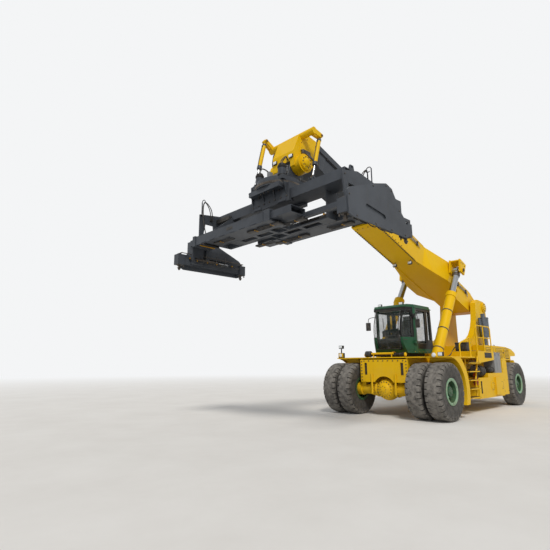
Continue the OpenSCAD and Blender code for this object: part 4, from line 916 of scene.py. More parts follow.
class STACKER_OT_underframe(bpy.types.Operator):
    """Adds the drive axle's covers, pipes, bolts and the mudguards' rubber"""
    bl_idname = "stacker.underframe"
    bl_label = "Axles and frame"

    def execute(self, context):
        cover, bolts, pipes, rubber, welds, dark, brakes = (Form() for _ in range(7))
        # Cover of the drive axle's gear, facing forward, with its ring of bolts
        closed_lathe(cover, [(.235, .262), (.262, .268), (.272, .262), (.276, .205), (.318, .18), (.35, .13),
            (.356, .055), (.368, .05), (.37, .03)], (0, 0, AXLE_Z), 0)
        for s in (1, -1):
            # Trumpet between the gear housing and the hub, with its ribs, and the brake housing
            lathe(cover, [(s * d, r) for d, r in ((.3, .235), (.34, .245), (.37, .24), (.39, .205), (.62, .185),
                (.64, .178))], (0, 0, AXLE_Z), 1, 40)
            for k in range(8):
                rib = prism(Form(), [(s * y, z) for y, z in ((.37, .17), (.37, .238), (.6, .192), (.6, .17))], -.008,
                    .008, 0)
                cover.join(rib.turned(placed((0, 0, AXLE_Z), k * math.pi / 4 + .39)))
            hexagons(bolts, circle(.228, 14, (0, s * .37, AXLE_Z), 1), 2 * s, .028, .018)
            # Brake pipes from the frame to the hub
            for dx in (.1, .14):
                run(brakes, [(dx, s * .62, 1.15), (dx, s * .62, 1.02), (dx - .02, s * .66, .98),
                    (dx - .05, s * .8, .95), (dx - .06, s * .9, .93)], .012, 8, 30)
            hexagons(bolts, [(.281, s * .8, z) for z in np.linspace(1.1, 1.68, 7)], 1, .034, .016)
            # Painted shade: a black patch where the slot in the front plate is, for the shade inside it, and the two
            # upright pipes before the axle
            box(dark, (.245, s * .605, 1.265), (.262, s * .695, 1.635), .004)
            tube(pipes, [(.3, s * .42, .68), (.3, s * .42, 1.3)], .03, 14)
            # Rubber flap on the mudguard's lower edge
            box(rubber, (-1.035, s * 1.28, .38), (-1.02, s * 2.03, .78), .004)
            prism(cover, rounded_outline(.05, .74, .01) + (-1.02, s * 1.655), .755, .785, 2, .004)
            hexagons(bolts, [(-1.005, s * y, .77) for y in np.linspace(1.34, 1.98, 6)], 1, .02, .01)
            # Stiffeners under the deck's wing
            for x in (-.3, -.75, -1.45):
                prism(welds, [(s * y, z) for y, z in ((1.3, 1.785), (2.02, 1.785), (2.02, 1.755), (1.3, 1.66))],
                    x - .006, x + .006, 0)
        hexagons(bolts, circle(.235, 16, (.272, 0, AXLE_Z), 0), 1, .028, .02)
        hexagons(bolts, circle(.1, 8, (.353, 0, AXLE_Z), 0), 1, .022, .012)
        hexagons(bolts, [(.281, y, 1.7) for y in np.linspace(-.7, .7, 9)], 1, .034, .016)
        # The black patches in the front plate are painted shade in its slots
        make_all("chassis", (cover, "axle_covers", "yellow_paint"), (bolts, "frame_bolts", "cast_steel"),
            (pipes, "front_uprights", "yellow_paint"), (brakes, "brake_pipes", "hose_rubber"),
            (dark, "front_slot_painted_shade", "black_paint"), (rubber, "mud_flaps", "hose_rubber"),
            (welds, "wing_stiffeners", "yellow_paint"))
        # Drive shaft from the transmission to the axle, with its joints
        shaft = Form()
        closed_lathe(shaft, [(-2.9, .07), (-2.86, .075), (-2.8, .05), (-2.76, .045), (-.55, .045), (-.5, .052),
            (-.45, .085), (-.4, .09), (-.33, .09)], (0, 0, .9), 0, 28)
        make(shaft, "drive_shaft", "chassis", "cast_steel")
        return {"FINISHED"}


class STACKER_OT_access(bpy.types.Operator):
    """Lays gratings and treads, and fits feet, clamps and the extinguisher along the sides"""
    bl_idname = "stacker.access"
    bl_label = "Steps, rails and tanks"

    def execute(self, context):
        pitch = context.scene.stacker_fittings.bar_pitch
        grate, tread, feet, bolts, caps, red, dark, panel, rails = (Form() for _ in range(9))
        for s in (1, -1):
            # Platform grating: bars on edge both ways over the plate
            for x in np.arange(-4.4, -3.03, pitch):
                prism(grate, [(s * .86, 2.031), (s * 1.66, 2.031), (s * 1.66, 2.046), (s * .86, 2.046)], x - .004,
                    x + .004, 0)
            for y in np.arange(.86, 1.67, pitch * 2):
                prism(grate, [(-4.41, 2.031), (-3.03, 2.031), (-3.03, 2.044), (-4.41, 2.044)], s * y - .003,
                    s * y + .003, 1)
            # Grip strips on the deck's wings
            for x in np.arange(-.95, -.1, .09):
                for y in np.arange(1.36, 1.95, .17):
                    prism(tread, rounded_outline(.018, .13, .008, 2) + (x, s * y), 1.814, 1.82, 2, .002)
            # Serrated noses of the ladder's treads
            for z in (.552, .824, 1.096, 1.368, 1.64):
                reach = max(0, z - .03 - 1.1) * .625
                x0 = -2.48 - reach
                for x in np.arange(x0 + .04, -1.76, .05):
                    prism(tread, rounded_outline(.014, .18, .006, 1) + (x, s * 1.75), z - .001, z + .009, 2, .003)
                for x in (x0 + .012, -1.742):
                    hexagons(bolts, [(x, s * 1.862, z - .015)], 2 * s, .022, .012)
            # Feet of the posts
            for x in (-3.04, -3.71, -4.38):
                closed_lathe(feet, [(2.029, .048), (2.04, .048), (2.044, .03), (2.075, .024)], (x, s * 1.675, 0), 2,
                    24)
                hexagons(bolts, circle(.037, 4, (x, s * 1.675, 2.04), 2, .78), 3, .013, .007)
            # Handrail: a bent tube with a middle post and a knee rail
            tube(rails, bent([(-3.04, s * 1.675, 2.03), (-3.04, s * 1.675, 2.915), (-4.38, s * 1.675, 2.915),
                (-4.38, s * 1.675, 2.03)], .14), .0215, 14)
            tube(rails, [(-3.71, s * 1.675, 2.03), (-3.71, s * 1.675, 2.91)], .02)
            tube(rails, [(-3.04, s * 1.675, 2.5), (-4.38, s * 1.675, 2.5)], .017)
            # Tank: filler cap, clean-out covers and the sight glass
            closed_lathe(caps, [(1.265, .075), (1.3, .075), (1.305, .062), (1.335, .062), (1.34, .072), (1.372, .07),
                (1.378, .05)], (-3.95, s * 1.45, 0), 2, 32)
            for x in (-4.95, -4.02):
                closed_lathe(feet, [(s * 1.718, .155), (s * 1.732, .155), (s * 1.736, .148)], (x, 0, .83), 1, 40)
                hexagons(bolts, circle(.125, 10, (x, s * 1.734, .83), 1), 2 * s, .02, .011)
            box(dark, (-3.02, s * 1.718, .62), (-2.96, s * 1.742, 1.02), .008)
            hexagons(bolts, [(-2.99, s * 1.74, .64), (-2.99, s * 1.74, 1.0)], 2 * s, .026, .012)
            # Blank plate on the platform's outer panel
            box(panel, (-4.2, s * 1.719, 1.8), (-3.55, s * 1.726, 1.985), .003, .02)
            hexagons(bolts, [(x, s * 1.726, z) for x in (-4.17, -3.58) for z in (1.825, 1.96)], 2 * s, .014, .006)
        # Air cleaner: ribbed lid with clips, band and intake pipe
        cleaner, middle = Form(), (0, 1.505, 1.3453)
        closed_lathe(cleaner, [(-3.128, .172), (-3.1, .186), (-3.078, .19), (-3.072, .178), (-3.058, .176),
            (-3.05, .162), (-3.046, .12), (-3.032, .112), (-3.028, .07), (-3.036, .05)], middle, 0)
        for x in (-3.5, -3.32):
            band(cleaner, x, .018, .196, .203, middle, 0)
        for a in (.5, 1.9, 3.3, 4.7, 5.9):
            clip = box(Form(), (-3.165, -.016, .188), (-3.075, .016, .226), .006)
            cleaner.join(clip.turned(placed(middle, a, "X")))
        run(cleaner, [(-3.56, 1.505, 1.35), (-3.66, 1.505, 1.36), (-3.73, 1.47, 1.41), (-3.75, 1.36, 1.46),
            (-3.75, 1.2, 1.47)], .075, 24, 30)
        make(cleaner, "air_cleaner_lid", "chassis", "black_plastic")
        # Grey box: lid with a lip, hinges and latches, round receiver under its edge
        case = Form()
        box(case, (-5.118, 1.302, 1.955), (-4.462, 1.708, 1.999), .01, .015)
        for x in (-4.98, -4.6):
            box(case, (x - .035, 1.7, 1.89), (x + .035, 1.716, 1.965), .006)
            box(case, (x - .012, 1.7, 1.9), (x + .012, 1.722, 1.94), .006)
        box(case, (-4.92, 1.698, 1.36), (-4.66, 1.706, 1.82), .004, .02)
        make(case, "grey_box_lid", "chassis", "grey_paint")
        receiver = (0, 1.6, 1.378)
        closed_lathe(dark, [(-4.44, .05), (-4.425, .085), (-4.4, .105), (-3.98, .105), (-3.955, .085), (-3.94, .05)],
            receiver, 0, 32)
        for x in (-4.32, -4.06):
            band(dark, x, .014, .105, .112, receiver, 0, 32)
        # Extinguisher in its bracket beside the ladder
        bottle = (-2.7, 1.66, 0)
        closed_lathe(red, [(.9, .062), (.905, .072), (.915, .077), (1.22, .077), (1.26, .066), (1.285, .04),
            (1.3, .026), (1.325, .026)], bottle, 2, 32)
        make(red, "extinguisher", "chassis", "red_paint")
        closed_lathe(dark, [(1.322, .03), (1.34, .03), (1.345, .016), (1.362, .014)], bottle, 2, 20)
        run(dark, [(-2.7, 1.66, 1.345), (-2.68, 1.72, 1.345), (-2.665, 1.745, 1.3), (-2.66, 1.745, 1.2),
            (-2.665, 1.742, 1.12)], [.009] * 20 + [.01, .011, .013, .014], 10)
        for z in (.98, 1.18):
            band(dark, z, .012, .078, .082, bottle, 2, 32)
        box(dark, (-2.8, 1.62, .96), (-2.775, 1.7, 1.2), .005)
        # Stair rail beside the left lift cylinder only
        tube(rails, bent([(-1.74, 1.95, 1.815), (-1.74, 1.95, 2.43), (-.95, 1.95, 2.22), (-.95, 1.95, 1.815)], .1),
            .0215, 14)
        for x in (-1.74, -.95):
            closed_lathe(feet, [(1.814, .046), (1.824, .046), (1.828, .028), (1.86, .022)], (x, 1.95, 0), 2, 24)
        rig.replaces(make(rails, "bent_handrails", "chassis", "yellow_paint"), "handrails")
        make_all("chassis", (grate, "platform_gratings", "stainless"), (tread, "grip_treads", "cast_steel"),
            (feet, "post_feet", "yellow_paint"), (bolts, "access_bolts", "cast_steel"),
            (caps, "tank_caps", "black_plastic"), (dark, "side_brackets", "black_paint"),
            (panel, "blank_plates", "black_paint"))
        return {"FINISHED"}
def cushion(low, high, crown, pull, seams=(), across=1, count=26):
    """A crowned pad between two corners. Its top rises by crown over the middle as the product of two half sine
    arches, its sides pull in between the corners, and each seam is a dent 12 mm wide across the pad."""
    low, high = np.array(low, float), np.array(high, float)
    mid, half = (low + high) / 2, (high - low) / 2
    u = np.linspace(-1, 1, count)
    a, b = np.meshgrid(u, u, indexing="ij")
    # The square is pressed towards a rounded square and its sides are drawn in
    k = 1 - .1 * (np.abs(a) ** 6) * (np.abs(b) ** 6)
    x = half[0] * a * k * (1 - pull * (1 - b ** 2) * np.abs(a) ** 3)
    y = half[1] * b * k * (1 - pull * (1 - a ** 2) * np.abs(b) ** 3)
    fall = np.clip(1 - np.maximum(np.abs(a), np.abs(b)) ** 10, 0, 1)
    rise = (1 - crown) + crown * np.cos(a * np.pi / 2) ** .6 * np.cos(b * np.pi / 2) ** .6
    top = half[2] * (rise * (.35 + .65 * fall))
    for s in seams:
        v = (a, b)[across]
        top -= half[2] * .22 * np.exp(-((v - s) / .045) ** 2) * fall
    bottom = -half[2] * (.35 + .65 * fall)
    form = Form()
    up = np.stack([x, y, top], -1) + mid
    down = np.stack([x, y, bottom], -1) + mid
    form.add(up, [grid_faces(count, count, close_columns=False)])
    form.add(down, [grid_faces(count, count, close_columns=False)[:, ::-1]])
    last = count - 1
    edge = [*((i, 0) for i in range(count)), *((last, j) for j in range(1, count)),
            *((i, last) for i in range(last - 1, -1, -1)), *((0, j) for j in range(last - 1, 0, -1))]
    rim = np.array([[up[i, j] for i, j in edge], [down[i, j] for i, j in edge]])
    form.add(rim, [grid_faces(2, len(edge))])
    return form


def soft_piece(form, name, body, finish, softness):
    """Makes a padded piece, smooth but for its sharpest edges."""
    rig.padded(make(form, name, body, finish, 70), softness)


def gasket(form, corners, width):
    """Round cords laid along an outline, as a gasket lies round a pane, each 0.3 of its width past its corners."""
    p = np.asarray(corners, float)
    for a, b in zip(p, np.roll(p, -1, 0)):
        past = (b - a) / np.linalg.norm(b - a) * width * .3
        tube(form, [a - past, b + past], width / 2, 6)


class STACKER_OT_cab_inside(bpy.types.Operator):
    """Fits the seat, wheel, dash, levers and trim inside the cab"""
    bl_idname = "stacker.cab_inside"
    bl_label = "Cab inside"

    def execute(self, context):
        seat = cushion((-1.375, -.25, 2.335), (-.855, .25, 2.462), .38, .05, (-.45, .45), 1)
        soft_piece(seat, "seat_cushion", "chassis", "seat_vinyl", .8)
        back = cushion((-.3, -.235, -.05), (.3, .235, .062), .35, .06, (-.5, .5), 1)
        back.turned(placed((-1.385, 0, 2.755), math.radians(83)))
        soft_piece(back, "seat_back_cushion", "chassis", "seat_vinyl", .8)
        head = cushion((-.09, -.14, -.04), (.09, .14, .05), .35, .06)
        head.turned(placed((-1.405, 0, 3.15), math.radians(85)))
        soft_piece(head, "head_rest", "chassis", "seat_vinyl", .9)
        shell, hard, metal, light, screen = (Form() for _ in range(5))
        # Seat base on its sprung stand, armrests with joysticks
        for z in np.linspace(2.04, 2.27, 7):
            prism(shell, rounded_outline(.4, .46, .03) + (-1.1, 0), z, z + .024, 2, .006)
        box(shell, (-1.37, -.25, 2.285), (-.87, .25, 2.345), .02, .04)
        for s in (1, -1):
            tube(metal, [(-1.41, -s * .05, 3.0), (-1.41, -s * .05, 3.12)], .008, 8)
            box(hard, (-1.36, s * .3, 2.5), (-.92, s * .38, 2.57), .02, .03)
            run(hard, [(-1.36, s * .34, 2.5), (-1.38, s * .33, 2.42), (-1.38, s * .28, 2.34)], .022, 10, 14)
            run(hard, [(-.96, s * .34, 2.565), (-.955, s * .34, 2.64), (-.93, s * .34, 2.7)],
                [.03, .026, .02, .014, .013, .013, .014, .018, .022, .024, .025, .026, .024, .016], 12, 14)
            box(hard, (-1.02, s * .295, 2.568), (-.9, s * .385, 2.585), .006, .02)
        # Dash round the column, screen on its right, switch panel and pedals
        prism(hard, [(-.5, 1.99), (-.3, 1.99), (-.18, 2.22), (-.17, 2.36), (-.3, 2.42), (-.44, 2.44), (-.52, 2.3)],
            -.44, .44, 1, .02)
        prism(hard, [(-.6, 2.45), (-.42, 2.45), (-.35, 2.5), (-.4, 2.56), (-.56, 2.55)], -.13, .13, 1, .015)
        # Rim, spokes and boss of the steering wheel, leaning to the seat
        c = (-.645, 0, 2.652)
        tilt = math.radians(30)
        torus(hard, .185, .0155, c, tilt)
        hub = Form()
        closed_lathe(hub, [(-.045, .035), (-.03, .048), (.004, .052), (.014, .04)], (0, 0, 0), 2, 24)
        for a in (.5, 2.64, 4.71):
            tube(hub, [(r * math.cos(a), r * math.sin(a), z) for r, z in ((.03, -.015), (.11, -.008), (.184, 0))],
                .011, 8)
        closed_lathe(hub, [(0.0, .012), (.02, .012), (.028, .024), (.06, .026), (.068, .018)], (.13, .13, 0), 2, 16)
        hard.join(hub.turned(placed(c, -tilt)))
        tube(hard, [(-.56, 0, 2.5), (-.6, 0, 2.57), (-.64, 0, 2.645)], [.042, .034, .024], 16)
        tube(hard, [(-.59, .02, 2.57), (-.6, .12, 2.6), (-.61, .17, 2.62)], [.009, .007, .012], 8)
        box(hard, (-.47, -.4, 2.5), (-.42, -.16, 2.7), .012, .015)
        box(screen, (-.473, -.385, 2.52), (-.468, -.175, 2.685), .002)
        tube(metal, [(-.44, -.28, 2.43), (-.44, -.28, 2.53)], .014, 10)
        for y in (-.14, .02, .16):
            pedal = prism(Form(), rounded_outline(.16, .09, .015, 2), -.006, .006, 2, .003)
            for k in range(5):
                box(pedal, (-.06 + k * .028, -.035, .005), (-.05 + k * .028, .035, .011), .002)
            metal.join(pedal.turned(placed((-.62, y, 2.09), math.radians(-38))))
        # Lining: rear wall cupboard, roof vents, side panels
        box(light, (-1.7, -.55, 2.02), (-1.58, .55, 2.36), .015, .02)
        for y in (-.48, -.16, .16, .48):
            closed_lathe(light, [(3.345, .045), (3.335, .05), (3.328, .036)], (-.54, y * .9, 0), 2, 20)
        box(light, (-.6, -.5, 3.335), (-.46, .5, 3.39), .012, .02)
        for s in (1, -1):
            box(light, (-1.62, s * .625, 2.03), (-1.46, s * .655, 2.345), .008, .02)
            box(light, (-1.3, s * .632, 2.04), (-.7, s * .656, 2.24), .008, .02)
        make_all("chassis", (shell, "seat_stand", "black_plastic"), (hard, "dash_and_levers", "black_plastic"),
            (metal, "pedals_and_stalks", "cast_steel"), (light, "cab_lining", "grey_paint"),
            (screen, "display_panel", "glass"))
        return {"FINISHED"}


class STACKER_OT_cab_outside(bpy.types.Operator):
    """Fits gaskets, wipers, mirrors, lamps and handles to the cab"""
    bl_idname = "stacker.cab_outside"
    bl_label = "Cab outside"

    def execute(self, context):
        seal, black, paint, clear, amber, mirror, brass, white, lever, door_mirror = (Form() for _ in range(10))
        # Nose profile of the windscreen, from the sill up
        nose = [(-.09, 2.09), (-.072, 2.275), (-.012, 2.625), (-.07, 2.995), (-.225, 3.335)]
        for s in (1, -1):
            # Gaskets of the side panes
            for x0, x1, z0 in ((-1.655, -1.425, 2.37), (-1.315, -.685, 2.25)):
                gasket(seal, [(x0, s * .716, z0), (x1, s * .716, z0), (x1, s * .716, 3.335), (x0, s * .716, 3.335)],
                    .022)
            # Rain gutter along the roof's edge
            box(paint, (-1.74, s * .712, 3.405), (-.6, s * .745, 3.43), .006)
        gasket(seal, [(-1.772, -.625, 2.37), (-1.772, .625, 2.37), (-1.72, .625, 3.335), (-1.72, -.625, 3.335)], .022)
        # Gasket down both sides of the windscreen
        for s in (1, -1):
            run(seal, [(x + .012, s * .452, z) for x, z in nose], .01)
        tube(seal, [(-.085, -.45, 2.075), (-.085, .45, 2.075)], .011, 8)
        tube(seal, [(-.212, -.45, 3.345), (-.212, .45, 3.345)], .011, 8)
        # Wiper: motor, arm and blade over the windscreen
        closed_lathe(black, [(-.08, .035), (-.02, .038), (.012, .03), (.018, .015)], (0, .06, 2.1), 0, 20)
        run(black, [(0.0, .06, 2.14), (.03, .02, 2.35), (.045, -.03, 2.62), (.015, -.07, 2.9)], .008)
        run(black, [(.008, .02, 2.42), (.028, -.03, 2.62), (.005, -.075, 2.86), (-.045, -.11, 3.08)], .011, 6)
        # Roof wiper and lamps
        tube(black, [(-1.4, 0, 3.53), (-1.05, .12, 3.462), (-.7, .2, 3.445)], .008, 8)
        box(black, (-1.47, -.05, 3.515), (-1.37, .05, 3.545), .01)
        for y in (-.4, .4):
            box(black, (-.42, y - .075, 3.505), (-.345, y + .075, 3.6), .015, .02)
            box(clear, (-.347, y - .062, 3.52), (-.338, y + .062, 3.588), .004, .012)
            tube(black, [(-.385, y, 3.5), (-.385, y, 3.52)], .014, 10)
        # Flashing beacon at the back of the roof
        beacon = (-1.6, -.45, 0)
        closed_lathe(black, [(3.515, .062), (3.545, .062), (3.55, .05)], beacon, 2, 28)
        closed_lathe(amber, [(3.55, .052), (3.56, .056), (3.64, .05), (3.665, .034), (3.67, .015)], beacon, 2, 28)
        # Mirrors on bent arms: the left one on the door, so that it swings clear with it
        for s, arms, faces, foot in ((1, lever, door_mirror, -.5), (-1, black, mirror, -.6)):
            run(arms, [(foot, s * .735, 3.18), (-.52, s * .8, 3.19), (-.42, s * .9, 3.14), (-.4, s * .92, 3.02)], .011,
                10)
            closed_lathe(arms, [(s * .735 - .012, .022), (s * .735 + .012, .022)], (foot, 0, 3.18), 1, 16)
            turn = placed((-.4, s * .92, 2.87), math.radians(-s * 14), "Z")
            arms.join(prism(Form(), rounded_outline(.035, .17, .014), -.14, .14, 2, .012).turned(turn))
            face = prism(Form(), rounded_outline(.004, .145, .0018, 1), -.122, .122, 2, .001)
            faces.join(face.turned(turn @ Matrix.Translation((-.019, 0, 0))))
        # Door handle and grab handle ride with the door
        a, b = np.array((-.12, .545, 2.36)), np.array((-.22, .592, 2.36))
        run(lever, [a, a + (.012, .04, 0), (a + b) / 2 + (.012, .048, 0), b + (.008, .04, 0), b], .009, 8, 20)
        run(lever, [(-.42, .665, 2.52), (-.4, .7, 2.53), (-.4, .7, 2.8), (-.4, .7, 3.07), (-.42, .665, 3.08)], .01, 8,
            30)
        make_all("door", (lever, "door_handle", "black_plastic"), (door_mirror, "door_mirror_face", "bright_steel"))
        # Yellow end fittings of the drum across the front, black bands round it, and the work lamp on the wing
        ends, drum = Form(), (.14, 0, 1.8903)
        for s in (1, -1):
            closed_lathe(ends, [(s * .695, .045), (s * .71, .062), (s * .735, .062), (s * .75, .045)], drum, 1, 24)
        for y in np.linspace(-.56, .56, 8):
            band(black, y, .012, .05, .056, drum, 1, 28)
        # Black motor at the drum's right end, yellow guard tube before it and the right lamp's box
        closed_lathe(black, [(-.7, .08), (-.69, .1), (-.52, .1), (-.5, .085), (-.49, .06)], (.14, 0, 1.92), 1, 32)
        tube(ends, [(.2, -.45, 1.93), (.2, .35, 1.93)], .032, 16)
        for y in (-.38, .28):
            box(ends, (.185, y - .015, 1.812), (.215, y + .015, 1.92), .004)
        box(ends, (-.165, -1.998, 1.838), (-.049, -1.802, 1.972), .01, .02)
        closed_lathe(clear, [(-.052, .055), (-.044, .058), (-.04, .045)], (0, -1.9, 1.905), 0, 28)
        box(brass, (.1, .3, 1.94), (.18, .38, 1.985), .008)
        for y in (.3, .38):
            tube(brass, [(.14, y, 1.96), (.19, y, 1.965), (.215, y, 1.95)], .013, 10)
        # Fixing bolts along the cab's floor
        for s in (1, -1):
            for x in np.linspace(-1.6, -.5, 5):
                hexagons(brass, [(x, s * .722, 1.985)], 2 * s, .022, .01)
        # Lamps: left one on the wing's edge, right one on its stalk
        for low, high in np.array((((-.1, 1.652, 1.835), (-.082, 1.778, 1.935)),
                ((-.066, -1.965, 2.152), (-.048, -1.835, 2.232)))):
            box(black, low - (.004, .008, .008), high + (-.006, .008, .008), .008, .02)
            box(clear, low, high + (.002, 0, 0), .008, .02)
        closed_lathe(white, [(-.012, .062), (0.0, .066), (.01, .06), (.022, .05), (.028, .025)], (-.02, 1.55, 1.86), 0,
            32)
        make_all("chassis", (ends, "drum_ends", "yellow_paint"), (seal, "cab_gaskets", "hose_rubber"),
            (black, "wipers_and_arms", "black_plastic"), (paint, "roof_gutters", "green_paint"),
            (clear, "lamp_glasses", "clear_lens"), (amber, "beacon_glass", "amber_lens"),
            (mirror, "mirror_faces", "bright_steel"), (brass, "cab_fittings", "brass"),
            (white, "wing_lamp", "clear_lens"))
        return {"FINISHED"}


def clamp_row(form, places, size, axis=2):
    """Small clamp blocks, each with a bolt on top, where pipes are held down."""
    half = np.asarray(size, float) / 2
    for p in np.asarray(places, float):
        box(form, p - half, p + half, .006)
        top = np.array(p)
        top[axis] += half[axis]
        hexagons(form, [top], axis + 1, .018, .01)
    return form


class STACKER_OT_boom(bpy.types.Operator):
    """Adds weld seams, pad holders, pipes, lamps and pin caps to the boom"""
    bl_idname = "stacker.boom"
    bl_label = "Boom"

    def execute(self, context):
        hose = context.scene.stacker_fittings.hose / 2
        seam, pads, pipes, clamps, bolts, black, glass, caps = (Form() for _ in range(8))
        # Weld beads along the box's four corners and the doubler plates at the mouth
        for s in (1, -1):
            for h in (.421, -.421):
                for x0, x1 in ((.75, 2.65), (4.8, 7.88)):
                    tube(seam, [(x0, s * .4495, h * .998), (x1, s * .4495, h * .998)], .007, 6)
            box(seam, (7.62, s * .449, -.4), (7.9, s * .466, .4), .004)
            box(seam, (6.1, s * .449, -.415), (7.6, s * .458, -.335), .003)
            for x in np.linspace(6.25, 7.45, 7):
                hexagons(bolts, [(x, s * .458, -.375)], 2 * s, .03, .014)
            # Adjusting screws of the side pads
            for h in (-.27, .27):
                box(pads, (7.66, s * .464, h - .06), (7.86, s * .482, h + .06), .006)
                for x in (7.7, 7.82):
                    hexagons(bolts, [(x, s * .482, h)], 2 * s, .03, .02)
            # Stitch of short plates along the lower edge of the side
            for x in np.arange(4.95, 6.05, .16):
                box(seam, (x, s * .449, -.405), (x + .09, s * .455, -.385), .002)
            # Dark comb of stop plates along the underside's edge
            for x in np.arange(4.95, 7.75, .1):
                box(black, (x, s * .405, -.437), (x + .055, s * .455, -.417), .004)
            # Steel pipes in clamps along the side
            for k, h in enumerate((.2, .25, .3)):
                run(pipes, [(.95, s * .475, h - .1), (1.1, s * .478, h), (1.6, s * .478, h), (2.5, s * .478, h)],
                    hose * .75)
                tube(pipes, [(5.05 + .1 * k, s * .478, h), (7.45, s * .478, h)], hose * .75, 8)
            clamp_row(clamps, [(x, s * .482, .25) for x in (1.15, 1.9, 2.4, 5.3, 6.0, 6.7, 7.35)], (.05, .055, .17), 1)
            # Lamp under the boom, in its bracket
            box(black, (5.3, s * .3 - .075, -.6), (5.38, s * .3 + .075, -.49), .015, .02)
            tube(black, [(5.34, s * .3, -.5), (5.34, s * .3, -.415)], .016, 10)
            box(glass, (5.376, s * .3 - .062, -.588), (5.388, s * .3 + .062, -.502), .004, .012)
            # Caps of the lift pins on their lugs
            closed_lathe(caps, [(s * 1.278, .07), (s * 1.292, .07), (s * 1.298, .06)], (3.258, 0, .06), 1, 32)
            hexagons(bolts, circle(.045, 6, (3.258, s * 1.296, .06), 1), 2 * s, .022, .012)
            for x, h in ((3.1, .3), (3.42, .3), (3.258, .33)):
                hexagons(bolts, [(x, s * 1.25, h)], 2 * s, .034, .016)
        # Doubler round the mouth, top and bottom
        for h0, h1 in ((.419, .436), (-.436, -.419)):
            box(seam, (7.62, -.44, h0), (7.9, .44, h1), .004)
        for y in (-.3, -.1, .1, .3):
            hexagons(bolts, [(7.76, y, .436)], 3, .03, .016)
            hexagons(bolts, [(7.76, y, -.436)], -3, .03, .016)
        # Access cover on the top of the boom
        box(pads, (1.2, -.22, .419), (1.75, .22, .432), .004, .04)
        hexagons(bolts, [(x, y, .432) for x in (1.25, 1.48, 1.7) for y in (-.18, .18)], 3, .024, .01)
        make_all("boom", (seam, "boom_doublers", "yellow_paint"), (pads, "boom_pad_holders", "yellow_paint"),
            (pipes, "boom_pipes", "bright_steel"), (clamps, "boom_clamps", "black_plastic"),
            (bolts, "boom_bolts", "cast_steel"), (black, "boom_lamps", "black_plastic"),
            (glass, "boom_lamp_glasses", "clear_lens"), (caps, "lift_pin_caps", "cast_steel"), place=BOOM)
        # Inner boom: pad strips, edge welds and the pipe along its side
        edge, line = Form(), Form()
        for s in (1, -1):
            for h in (.3595, -.3595):
                tube(edge, [(8.0, s * .3895, h), (10.88, s * .3895, h)], .006, 6)
            box(edge, (10.55, s * .389, -.35), (10.9, s * .402, .35), .003)
            for h in (.12, .165):
                tube(line, [(9.2, s * .406, h), (10.86, s * .406, h)], .011, 8)
            for x in (9.3, 9.9, 10.5):
                box(line, (x - .02, s * .388, .1), (x + .02, s * .42, .19), .004)
        make_all("boom_extension", (edge, "inner_boom_edges", "slate_paint"),
            (line, "inner_boom_pipes", "black_paint"), place=BOOM)
        return {"FINISHED"}


class STACKER_OT_pivot(bpy.types.Operator):
    """Caps the boom's pivot and puts edge flats, ribs and bolts on the pylons"""
    bl_idname = "stacker.pivot"
    bl_label = "Pylons and pivot"

    def execute(self, context):
        rib, bolts, caps = Form(), Form(), Form()
        for s in (1, -1):
            closed_lathe(caps, [(s * .778, .2), (s * .79, .2), (s * .796, .19), (s * .797, .125), (s * .812, .12),
                (s * .816, .1)], PIVOT)
            hexagons(bolts, circle(.16, 12, (PIVOT[0], s * .796, PIVOT[2]), 1), 2 * s, .03, .016)
            hexagons(bolts, circle(.06, 4, (PIVOT[0], s * .815, PIVOT[2]), 1, .78), 2 * s, .024, .012)
            # Edge flats along the curved front of each pylon, and the ribs on its outer face
            front = np.array([(-4.57, 2.44), (-4.95, 2.56), (-5.25, 2.74), (-5.48, 3.01), (-5.64, 3.32), (-5.72, 3.7),
                (-5.77, 4.06)])
            inner = front + (-.035, -.03)
            prism(rib, np.concatenate([front, inner[::-1]]), *sorted((s * .735, s * .752)), 1, .003)
            for x, z0, z1 in ((-6.75, 2.35, 3.9), (-6.3, 2.35, 3.6), (-5.8, 2.35, 3.0)):
                box(rib, (x - .03, s * .738, z0), (x + .03, s * .752, z1), .004)
            for z in (2.5, 2.85, 3.2, 3.55):
                hexagons(bolts, [(-6.75, s * .752, z)], 2 * s, .026, .012)
        make_all("chassis", (rib, "pylon_ribs", "yellow_paint"), (bolts, "pylon_bolts", "cast_steel"),
            (caps, "pivot_caps", "yellow_paint"))
        return {"FINISHED"}


def lift_frame(s):
    """Carries points given along a lift cylinder, across it and square to it from its foot to the machine."""
    d = on_boom([LIFT_PIN])[0] - LIFT_BASE
    return placed((LIFT_BASE[0], s * 1.04, LIFT_BASE[2]), -math.atan2(d[2], d[0]))


